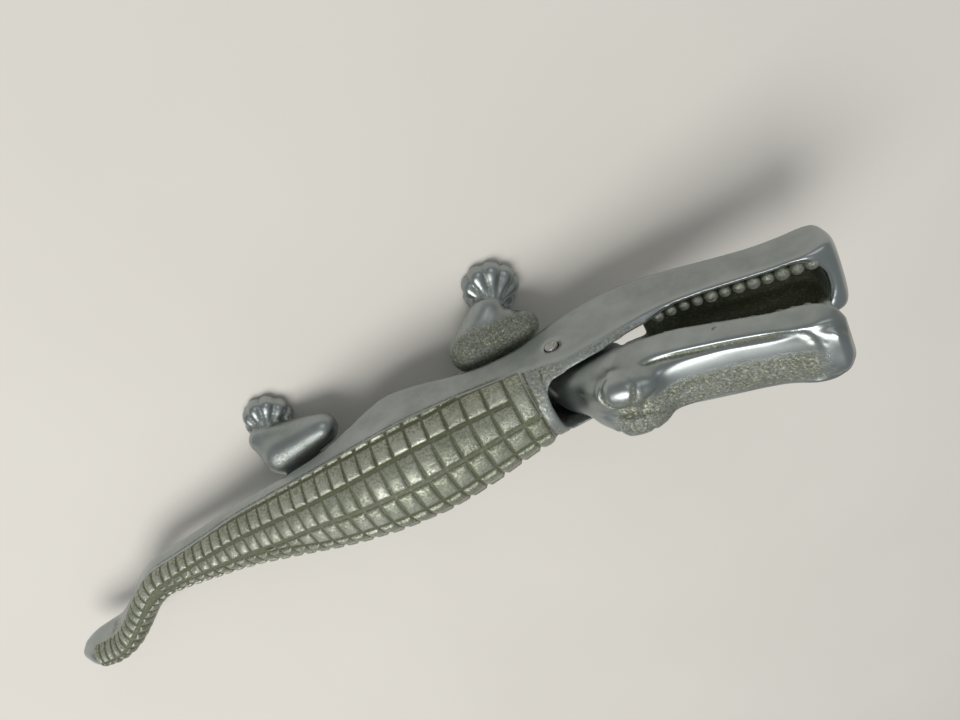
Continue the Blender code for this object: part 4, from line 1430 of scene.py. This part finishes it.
def face_details(skin):
    """Eye discs with their lids, the long crease over each lip, the brow fold and the nostrils."""
    for side in (1, -1):
        eye, facing = eye_place(side)
        skin.stamp(
            eye, facing, EYE_RADIUS + 3.5, lambda around, leftward: eye_profile(around, leftward, side)
        )
        skin.stroke(lip_fold(side), **LIP_CREASE)
        brow_fold = [head_point(along, side * across, up) for along, across, up in BROW_FOLD]
        skin.stroke(skin.onto(brow_fold), 0.8, -0.6 if side > 0 else -0.15, 5.0)
        for path, width, depth in NOSTRIL_FOLDS:
            fold = []
            for before, across, up in path:
                along = SNOUT_REACH - before
                fold.append(head_point(along, side * across, snout_top(along) + up))
            skin.stroke(fold, width, -depth, 1.5)


def build_palate_cutter():
    """The recess in the roof of the mouth, between the rows of upper teeth."""
    rings = []
    start = snout(0.3)
    end = SNOUT_REACH - 6.0
    below_teeth = -12.0
    for along in spread(start, end, 2.0):
        closing = blend(end - 6.0, end + 2.0, along) + 1 - blend(start - 2.0, start + 6.0, along)
        ends = 1 - 0.5 * float(closing)
        width = (snout_width(along) - 3.6) * ends
        roof = snout_bottom(along) + PALATE_DEPTH * ends
        half = [(width, below_teeth), (width, roof - 1.5), (0.6 * width, roof)]
        rings.append([head_point(along, y, z) for y, z in half + [(-y, z) for y, z in reversed(half)]])
    return loft("palate_cutter", rings)


def paw_spokes(samples=14, heel_samples=20):
    """(turn, ridge) round the paw: the fan of toes, where ridge is one on each toe, then the heel."""
    spokes = []
    for i in range(TOES * samples + 1):
        share = i / (TOES * samples)
        ridge = abs(math.sin(math.pi * TOES * share)) ** 0.5
        spokes.append((TOE_FAN * (share - 0.5), ridge))
    heel = 2 * math.pi - TOE_FAN
    spokes += [(0.5 * TOE_FAN + heel * k / heel_samples, 0.0) for k in range(1, heel_samples)]
    return spokes


def paw_axes(side):
    """The way a paw points in plan, and the way square to that."""
    ahead = Vector((math.sin(FOOT_TURN), side * math.cos(FOOT_TURN)))
    return ahead, Vector((math.cos(FOOT_TURN), -side * math.sin(FOOT_TURN)))


def rear_foot(side):
    """A rear paw's station and distance from the middle. The right one steps further forward and out."""
    x, out = REAR_FOOT
    return (x, out) if side > 0 else (x + RIGHT_REAR_STRIDE, out + RIGHT_REAR_SPLAY)


def build_foot(side, centre, radius):
    """A rounded paw with a flat sole, whose toes are ridges that fan out from the wrist."""
    ahead, out = paw_axes(side)
    rings = []
    for reach, rise in PAW_PROFILE:
        depth = TOE_GROOVE * float(blend(0.1, 0.6, reach))
        pole = Vector(centre) - ahead * 0.45 * radius * (1 - reach)
        ring = []
        for turn, ridge in paw_spokes():
            inside_fan = 1 - float(blend(0.5 * TOE_FAN - 0.1, 0.5 * TOE_FAN + 0.35, abs(turn)))
            groove = depth * (1 - ridge) * inside_fan
            spoke = ahead * (0.9 if math.cos(turn) > 0 else 1.0) * math.cos(turn) + out * math.sin(turn)
            point = pole + spoke * radius * reach * (1 - groove)
            ring.append((point.x, point.y, FOOT_HEIGHT * rise * (1 - 1.1 * groove) - PIN_HEIGHT))
        rings.append(ring)
    return loft("foot_form", rings)


def under_hem(x, side, radius):
    """The centre of a limb's end that is sunk in the belly bar's side and lies clear below the hem."""
    out = BELLY_HALF_WIDTH + radius - LIMB_SINK
    return (x, side * out, hem_height(x) - LIMB_CLEARANCE - radius)


def build_front_leg(side):
    """Upper arm back from the shoulder to the elbow, forearm out to the paw."""
    foot_x, foot_y = FRONT_FOOT
    shoulder = under_hem(SHOULDER_X, side, SHOULDER_RADIUS)
    elbow = under_hem(ELBOW_X, side, ELBOW_RADIUS)
    wrist = (foot_x - BEHIND_PAW, side * (foot_y - WRIST_INSET), WRIST_HEIGHT - PIN_HEIGHT)
    between = (0.5 * (shoulder[0] + wrist[0]), 0.5 * (shoulder[1] + wrist[1]))
    armpit = (between[0] - ARMPIT_BACK, between[1], ARMPIT_HEIGHT - PIN_HEIGHT)
    return [
        limb(shoulder, elbow, SHOULDER_RADIUS, ELBOW_RADIUS),
        limb(elbow, wrist, ELBOW_RADIUS, WRIST_RADIUS),
        ball(armpit, ARMPIT_RADII),
        build_foot(side, (foot_x, side * foot_y), FRONT_FOOT_RADIUS),
    ]


def build_rear_leg(side):
    """Thigh under the hem, knee forward, shin back to the heel."""
    foot_x, foot_y = rear_foot(side)
    hip = under_hem(body(HIP_SHARE), side, HIP_RADIUS)
    knee = (body(KNEE_SHARE), side * (hip[1] * side + 1.0), KNEE_HEIGHT - PIN_HEIGHT)
    heel = (foot_x - BEHIND_PAW, side * (foot_y - HEEL_INSET), HEEL_HEIGHT - PIN_HEIGHT)
    return [
        limb(hip, knee, HIP_RADIUS, KNEE_RADIUS),
        limb(hip, heel, HIP_RADIUS, HEEL_RADIUS),
        limb(knee, heel, KNEE_RADIUS, HEEL_RADIUS),
        build_foot(side, (foot_x, side * foot_y), REAR_FOOT_RADIUS),
    ]


def build_leg_lever():
    """The smooth casting of head, neck, belly bar and legs."""
    head_stations = spread(snout(0), SNOUT_REACH - 3.0, 1.0)
    head_stations += [SNOUT_REACH - before for before in (2.4, 1.8, 1.2, 0.7, 0.3, 0.0)]
    head = loft("head_form", [head_section(along) for along in head_stations])
    carve(head, build_palate_cutter())
    members = [build_bar(), head, *build_face()]
    for side in (1, -1):
        members += build_front_leg(side) + build_rear_leg(side)
    lever = join("leg_lever_casting", members)
    remesh(lever, LEG_LEVER_VOXEL)
    skin = Skin(lever)
    skin.fair(3)

    # The limbs, the brows and most of all the neck are softened, and the paws keep their toes
    height = skin.points[:, 2] + PIN_HEIGHT
    paws = 1 - blend(8.6, 10.6, height)
    limbs = blend(8.6, 11.0, height) * (1 - blend(21.0, 25.0, height))
    along, _, _ = head_space(skin.points)
    brows = blend(5.0, 9.0, along) * (1 - blend(30.0, 38.0, along)) * blend(26.0, 32.0, height)
    neck = (1 - blend(14.5, 19.5, along)) * blend(29.0, 34.0, height)
    skin.smooth(6, 1 - paws)
    skin.smooth(22, limbs)
    skin.smooth(40, brows)
    skin.smooth(260, neck, 0.9)
    skin.smooth(1, paws)
    for side in (1, -1):
        wrist_creases(skin, side)
    face_details(skin)
    skin.fair(1)
    film, pitted = leg_zones(skin.points)
    skin.mark_wear(10, 0.3, film)
    skin.mark("pitted", pitted)
    skin.write()
    x, y, z = skin.points.T
    belly = (x < -16.0) & (np.abs(y) < BELLY_HALF_WIDTH + 0.4) & (z > BELLY_BOTTOM - 0.5)
    thin_hidden(lever, belly)
    place(lever)
    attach(lever, "standing_lever")
    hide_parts("leg_lever")
    return lever


def wrist_creases(skin, side):
    """Two shallow creases round the front of each wrist."""
    ahead, out = paw_axes(side)
    paws = ((FRONT_FOOT, FRONT_FOOT_RADIUS, 0.62), (rear_foot(side), REAR_FOOT_RADIUS, 0.7))
    for (foot_x, foot_y), radius, reach in paws:
        middle = Vector((foot_x, side * foot_y))
        for back in (reach, reach + WRIST_CREASE_GAP):
            crease = []
            for k in range(-4, 5):
                turn = math.radians(16.0 * k)
                spot = middle - ahead * back * radius + out * 0.62 * radius * math.sin(turn)
                crease.append((spot.x, spot.y, 3.0 + 7.6 * math.cos(turn) - PIN_HEIGHT))
            skin.stroke(crease, **WRIST_CREASE)


def eye_place(side):
    """The middle of an eye and the way it looks."""
    centre = np.array(head_point(EYE_ALONG - 0.2, side * EYE_ACROSS, EYE_UP))
    facing = np.array(head_point(0.0, side * 0.62, 0.78))
    return centre, facing / np.linalg.norm(facing)


def eye_ring(points, side):
    """One in the crease under an eye, which is open on its outer side, where film and painted shade are
    laid.
    """
    out, around, leftward = about_axis(points, *eye_place(side))
    inner = 1 - blend(-0.4, 0.5, side * leftward)
    return inner * np.exp(-(((around - EYE_RADIUS - 0.25) / 0.5) ** 2)) * (np.abs(out) < 6.0)


def leg_zones(points):
    """Where the dark film covers the leg lever's casting, with painted shade in the eye creases, heavier at
    the near eye, and where its surface is pitted.
    """
    along, across, up = head_space(points)
    x, _, z = points.T
    height = z + PIN_HEIGHT
    top = sampled(snout_top, HEAD_BACK, SNOUT_REACH, 100, along)
    lower_edge = sampled(snout_bottom, HEAD_BACK, SNOUT_REACH, 60, along) + 0.4
    roof = blend(-4.6, -2.6, up - top) * blend(HEAD_BACK + 6, HEAD_BACK + 10, along)
    roof = roof * (1 - blend(0.6, 3.6, across)) * (1 - blend(7.0, 9.0, -across))
    roof = roof * (1 - blend(SNOUT_REACH - 10.0, SNOUT_REACH - 3.0, along))
    brow = blend(18.6, 20.4, up) * blend(4.0, 9.0, along) * (1 - blend(36.0, 44.0, along))
    eyes = 1 - np.exp(-(((along - EYE_ALONG + 0.2) / 5.4) ** 4) - ((np.abs(across) - 8.3) / 3.6) ** 4)
    head = np.maximum(roof, brow * eyes) * blend(20.0, 24.0, height)
    mouth = (1 - blend(-0.5, 1.5, up - lower_edge)) * blend(28.0, 34.0, along) * blend(30.0, 34.0, height)
    limbs = (1 - blend(20.0, 24.0, height)) * blend(6.5, 9.5, height)
    elbows = np.where(x > -60.0, blend(13.0, 17.0, height), 0.6 * blend(16.0, 20.0, height))
    pitted = np.maximum.reduce([head, limbs * (0.05 + 0.75 * elbows), mouth])
    film = [MOUTH_FILM * mouth, limbs * (LIMB_FILM + ELBOW_FILM * elbows), HEAD_FILM * head]
    # The eye creases get film and painted shade, heavier at the near eye.
    film += [NEAR_EYE_FILM_AND_SHADE * eye_ring(points, 1), FAR_EYE_FILM_AND_SHADE * eye_ring(points, -1)]
    return np.maximum.reduce(film), pitted


def build_rivet():
    """The rivet with its peened ends."""
    outside = half_width(0.0) + 0.35
    end = [
        (outside - 0.45, PIN_RADIUS),
        (outside - 0.2, 0.97 * PIN_RADIUS),
        (outside - 0.04, 0.88 * PIN_RADIUS),
        (outside, 0.78 * PIN_RADIUS),
        (outside - 0.04, 0.66 * PIN_RADIUS),
        (outside - 0.3, 0.56 * PIN_RADIUS),
        (outside - 0.36, 0.4 * PIN_RADIUS),
        (outside - 0.2, 0.1 * PIN_RADIUS),
    ]
    profile = [(-y, r) for y, r in reversed(end)] + end
    angles = [2 * math.pi * k / 48 for k in range(48)]
    rivet = loft("rivet", [[(r * math.cos(a), y, r * math.sin(a)) for a in angles] for y, r in profile])
    place(rivet)
    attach(rivet, "lifting_lever")
    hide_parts("pivot_pin")
    return rivet


def tooth_tree():
    """Geometry nodes that set a row of bead teeth along a guide line, growing towards its end."""
    tree = bpy.data.node_groups.new("tooth_row", "GeometryNodeTree")
    t = Tree(tree)
    t.input("Guide", "Geometry")
    t.input("Teeth", "Int", TEETH_PER_SIDE)
    t.input("First Radius", "Float", UPPER_TEETH[0])
    t.input("Last Radius", "Float", UPPER_TEETH[1])
    t.input("Tilt", "Float", 0.0)
    t.input("Seed", "Int", 7)
    t.input("Material", "Material")
    t.output("Geometry", "Geometry")
    given = t.node("NodeGroupInput").outputs
    line = t.node("GeometryNodeMeshToCurve", {"Mesh": given["Guide"]})
    even = t.node("GeometryNodeResampleCurve", {"Curve": line.outputs[0], "Count": given["Teeth"]})
    done = t.node("GeometryNodeSplineParameter").outputs["Factor"]
    grown = t.ranged(done, 0.0, 1.0, given["First Radius"], given["Last Radius"])
    draw = {2: TOOTH_DRAW[0], 3: TOOTH_DRAW[1], "Seed": given["Seed"]}
    chance = t.node("FunctionNodeRandomValue", draw, data_type="FLOAT").outputs[1]
    size = t.math("MULTIPLY", grown, chance)
    width = t.math("MULTIPLY", size, TOOTH_WIDTH_SHARE)
    shape = t.node("ShaderNodeCombineXYZ", {"X": size, "Y": width, "Z": size})
    bead = t.node("GeometryNodeMeshUVSphere", {"Segments": 20, "Rings": 14, "Radius": 1.0})
    lean = t.node("ShaderNodeCombineXYZ", {"Y": given["Tilt"]})
    beads = {"Points": even.outputs[0], "Instance": bead.outputs["Mesh"]}
    turned = {"Rotation": lean.outputs[0], "Scale": shape.outputs[0]}
    placed = t.node("GeometryNodeInstanceOnPoints", {**beads, **turned})
    real = t.node("GeometryNodeRealizeInstances", {"Geometry": placed.outputs[0]})
    dressing = {"Geometry": real.outputs[0], "Material": given["Material"]}
    dressed = t.node("GeometryNodeSetMaterial", dressing)
    t.node("NodeGroupOutput", {0: dressed.outputs[0]})
    return tree


def build_teeth(name, lines, body_name, tree, values):
    """Rows of teeth along lines of points, as one object, with painted highlight on their tops and painted
    shade under them.
    """
    points, edges = [], []
    for line in lines:
        start = len(points)
        points += [tuple(point) for point in line]
        edges += [(i, i + 1) for i in range(start, len(points) - 1)]
    guide = bpy.data.meshes.new(name + "_guide")
    guide.from_pydata(points, edges, [])
    teeth = nodes_mesh(name, add_object(guide.name, guide), tree, values)
    skin = Skin(teeth)
    # Painted light: the upward faces are marked as crests, a painted highlight, and the downward faces as
    # hollows, a painted shade in the film colour.
    facing_up = skin.normals()[:, 2]
    skin.mark("hollow", 0.85 * (1 - blend(-0.3, 0.5, facing_up)))
    skin.mark("crest", blend(0.4, 0.85, facing_up))
    skin.mark("film", 0.0 * facing_up)
    skin.mark("pitted", np.full(len(skin.points), 0.5))
    place(teeth)
    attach(teeth, body_name)
    return teeth


def lower_tooth_lines():
    """The inside of both rims of the lower jaw."""
    rows = []
    for side in (1, -1):
        stations = np.linspace(SLOT_FRONT + 3.0, JAW_REACH - 3.0 * WALL, 30)
        rows.append([(x, side * (half_width(x) - WALL - 0.7), rim_height(x) - 1.9) for x in stations])
    return rows


def upper_tooth_lines():
    """The inside of both edges of the upper jaw."""
    rows = []
    for side in (1, -1):
        alongs = np.linspace(snout(0.35), SNOUT_REACH - 8.0, 30)
        rows.append([head_point(a, side * (snout_width(a) - 2.2), snout_bottom(a) + 0.2) for a in alongs])
    return rows


def patina_group():
    """Where the dark film lies, with painted shade, and where the metal is rubbed bare, with painted
    highlight, as a colour, a dullness and a cover.
    """
    tree = bpy.data.node_groups.new("patina", "ShaderNodeTree")
    t = Tree(tree)
    t.input("Bare Colour", "Color", (0.6, 0.6, 0.57, 1))
    t.input("Dull Colour", "Color", (0.4, 0.42, 0.36, 1))
    t.input("Film Colour", "Color", (0.1, 0.11, 0.06, 1))
    t.input("Film", "Float", 0.0)
    t.input("Crest", "Float", 0.0)
    t.input("Cloud Scale", "Float", 90.0)
    t.output("Colour", "Color")
    t.output("Dullness", "Float")
    t.output("Cover", "Float")
    given = t.node("NodeGroupInput").outputs
    cloudy = t.ranged(t.noise(given["Cloud Scale"], 5.0, 0.6), 0.35, 0.65)
    base = t.mix(cloudy, given["Dull Colour"], given["Bare Colour"])
    speck = t.ranged(t.noise(1400.0, 3.0, 0.6), 0.4, 0.6, 0.65, 1.35)
    # The film input holds the dark film and, from the teeth, plates and eye creases, painted shade.
    film = t.ranged(t.math("MULTIPLY", given["Film"], speck), 0.1, 0.9, smooth=True)
    coloured = t.mix(film, base, given["Film Colour"])
    # The crest input holds rubbing on the castings and painted highlight on the teeth and plates; both are
    # mixed towards the bare colour.
    rub_and_highlight = t.math("MULTIPLY", given["Crest"], 0.7)
    rubbed = t.mix(rub_and_highlight, coloured, given["Bare Colour"])
    dull = t.math("SUBTRACT", t.math("MULTIPLY_ADD", cloudy, -0.15, film), t.math("MULTIPLY", rub_and_highlight, 0.4))
    cover = t.math("MULTIPLY", film, t.math("SUBTRACT", 1.0, rub_and_highlight))
    t.node("NodeGroupOutput", {"Colour": rubbed, "Dullness": dull, "Cover": cover})
    return tree


def pit_group():
    """The casting's sand skin: a height, a mask of the dark pits and a mask of the bright grains."""
    tree = bpy.data.node_groups.new("casting_pits", "ShaderNodeTree")
    t = Tree(tree)
    t.input("Amount", "Float", 0.5)
    t.input("Pit Scale", "Float", 1300.0)
    t.input("Grain Scale", "Float", 2600.0)
    t.output("Height", "Float")
    t.output("Pits", "Float")
    t.output("Grains", "Float")
    given = t.node("NodeGroupInput").outputs
    lumps = t.noise(given["Pit Scale"], 4.0, 0.7)
    local = t.math("MULTIPLY", given["Amount"], t.ranged(t.noise(130.0, 3.0), 0.3, 0.62, 0.35, 1.0))
    dark = t.ranged(lumps, 0.52, 0.40, smooth=True)
    bright = t.ranged(lumps, 0.53, 0.66, smooth=True)
    stray = t.ranged(t.noise(420.0, 2.0), 0.27, 0.23, smooth=True)
    pits = t.math("MAXIMUM", t.math("MULTIPLY", dark, local), t.math("MULTIPLY", stray, 0.7))
    grains = t.math("MULTIPLY", bright, local)
    sand = t.math("SUBTRACT", t.noise(given["Grain Scale"], 2.0), 0.5)
    rise = t.math("MULTIPLY", sand, t.math("MULTIPLY_ADD", local, 0.3, 0.03))
    height = t.math("ADD", rise, t.math("SUBTRACT", t.math("MULTIPLY", grains, 0.5), pits))
    t.node("NodeGroupOutput", {"Height": height, "Pits": pits, "Grains": grains})
    return tree


def cast_metal(name, groups, bare, dull, film, grain, smoothest, pit_floor, bump):
    """A worn metal: satin where it is handled, golden and pitted where the sand skin is left."""
    material = bpy.data.materials.new(name)
    material.use_nodes = True
    t = Tree(material.node_tree)
    shader = material.node_tree.nodes["Principled BSDF"]
    shader.inputs["Specular IOR Level"].default_value = SHEEN
    # The hollow, crest and film marks carry worn film and rubbing, and also painted shade and painted
    # highlight where the teeth, plates and eye creases set them.
    marks = ("hollow", "crest", "pitted", "film")
    hollow, crest, pitted, film_and_shade_mark = [
        t.node("ShaderNodeAttribute", attribute_name=mark).outputs["Fac"] for mark in marks
    ]
    pits = t.group(groups["pits"], {"Amount": t.math("MULTIPLY_ADD", pitted, 1 - pit_floor, pit_floor)})
    in_pits = t.math("MULTIPLY", pits["Pits"], 0.75)
    film_and_shade = t.math("MAXIMUM", t.math("MAXIMUM", hollow, film_and_shade_mark), in_pits)
    colours = {"Bare Colour": (*bare, 1), "Dull Colour": (*dull, 1), "Film Colour": (*film, 1)}
    patina = t.group(groups["patina"], {**colours, "Film": film_and_shade, "Crest": crest})
    shining = t.math("MULTIPLY", pits["Grains"], 0.8)
    colour = t.mix(shining, patina["Colour"], (*grain, 1))
    dullness = t.math("MULTIPLY_ADD", pitted, 0.35, patina["Dullness"])
    rough = t.ranged(dullness, -0.3, 1.0, smoothest, ROUGHEST)
    relief = t.node("ShaderNodeBump", {"Height": pits["Height"], "Strength": RELIEF, "Distance": bump})
    film_and_shade_cover = t.math("MULTIPLY", patina["Cover"], t.math("SUBTRACT", 1.0, shining))
    metallic = t.math("MULTIPLY_ADD", film_and_shade_cover, -METAL_LOST_UNDER_FILM, 1.0)
    for key, value in (("Metallic", metallic), ("Base Color", colour), ("Roughness", rough)):
        material.node_tree.links.new(value, shader.inputs[key])
    material.node_tree.links.new(relief.outputs[0], shader.inputs["Normal"])
    return material


def make_floor():
    """A pale, faintly mottled table top."""
    bm = bmesh.new()
    bmesh.ops.create_grid(bm, x_segments=1, y_segments=1, size=3.0)
    floor = bmesh_object("floor", bm)
    floor.location.z = -TABLE_DROP * MM
    material = bpy.data.materials.new("pale_table")
    material.use_nodes = True
    t = Tree(material.node_tree)
    shader = material.node_tree.nodes["Principled BSDF"]
    shader.inputs["Roughness"].default_value = TABLE_ROUGHNESS
    shader.inputs["Specular IOR Level"].default_value = TABLE_SHEEN
    colour = t.mix(t.noise(9.0, 3.0), *TABLE_SHADES)
    material.node_tree.links.new(colour, shader.inputs["Base Color"])
    floor.data.materials.append(material)


def make_light():
    """Soft daylight from nearly overhead, a little from the tail's side, in a dim room."""
    world = bpy.data.worlds.new("room")
    bpy.context.scene.world = world
    world.use_nodes = True
    background = world.node_tree.nodes["Background"]
    background.inputs["Color"].default_value = (0.95, 0.98, 1.0, 1)
    background.inputs["Strength"].default_value = 0.33
    # Name, place, width, power and colour
    lamps = [
        ("window", (-0.42, -0.06, 1.0), 0.8, 8.6, (1.0, 0.99, 0.96)),
        ("fill", (0.5, 1.0, 0.9), 0.7, 1.2, (0.96, 1.0, 0.97)),
    ]
    for name, place_at, size, power, colour in lamps:
        light = bpy.data.lights.new(name, "AREA")
        light.shape = "DISK"
        light.size = size
        light.energy = power
        light.color = colour
        lamp = add_object(name, light)
        lamp.location = place_at
        lamp.rotation_euler = Vector(place_at).to_track_quat("Z", "Y").to_euler()


def main():
    """Sets the stage, then builds and dresses every piece."""
    bpy.context.scene.view_settings.view_transform = "Standard"
    make_camera()
    make_floor()
    make_light()
    groups = {"patina": patina_group(), "pits": pit_group()}
    smooth_metal = cast_metal(
        "smooth_cast_aluminium",
        groups,
        bare=(0.38, 0.41, 0.41),
        dull=(0.29, 0.32, 0.31),
        film=OLIVE_FILM,
        grain=GOLDEN_GRAIN,
        smoothest=0.3,
        pit_floor=0.0,
        bump=0.12 * MM,
    )
    worn_metal = cast_metal(
        "worn_cast_aluminium",
        groups,
        bare=(0.5, 0.52, 0.45),
        dull=(0.33, 0.36, 0.28),
        film=OLIVE_FILM,
        grain=GOLDEN_GRAIN,
        smoothest=0.32,
        pit_floor=0.2,
        bump=0.15 * MM,
    )
    steel = cast_metal(
        "rivet_steel",
        groups,
        bare=(0.52, 0.52, 0.49),
        dull=(0.4, 0.4, 0.37),
        film=BROWN_FILM,
        grain=STEEL_GRAIN,
        smoothest=0.36,
        pit_floor=0.1,
        bump=0.05 * MM,
    )
    tail_lever = build_tail_lever()
    leg_lever = build_leg_lever()
    rivet = build_rivet()
    build_scutes(worn_metal)
    teeth = tooth_tree()
    lower = {"First Radius": LOWER_TEETH[0], "Last Radius": LOWER_TEETH[1], "Material": worn_metal}
    upper = {"First Radius": UPPER_TEETH[0], "Last Radius": UPPER_TEETH[1], "Material": worn_metal}
    upper["Tilt"] = -HEAD_PITCH
    build_teeth("lower_teeth", lower_tooth_lines(), "lifting_lever", teeth, lower)
    build_teeth("upper_teeth", upper_tooth_lines(), "standing_lever", teeth, upper)
    for obj, material in ((tail_lever, smooth_metal), (leg_lever, smooth_metal), (rivet, steel)):
        obj.data.materials.clear()
        obj.data.materials.append(material)


main()
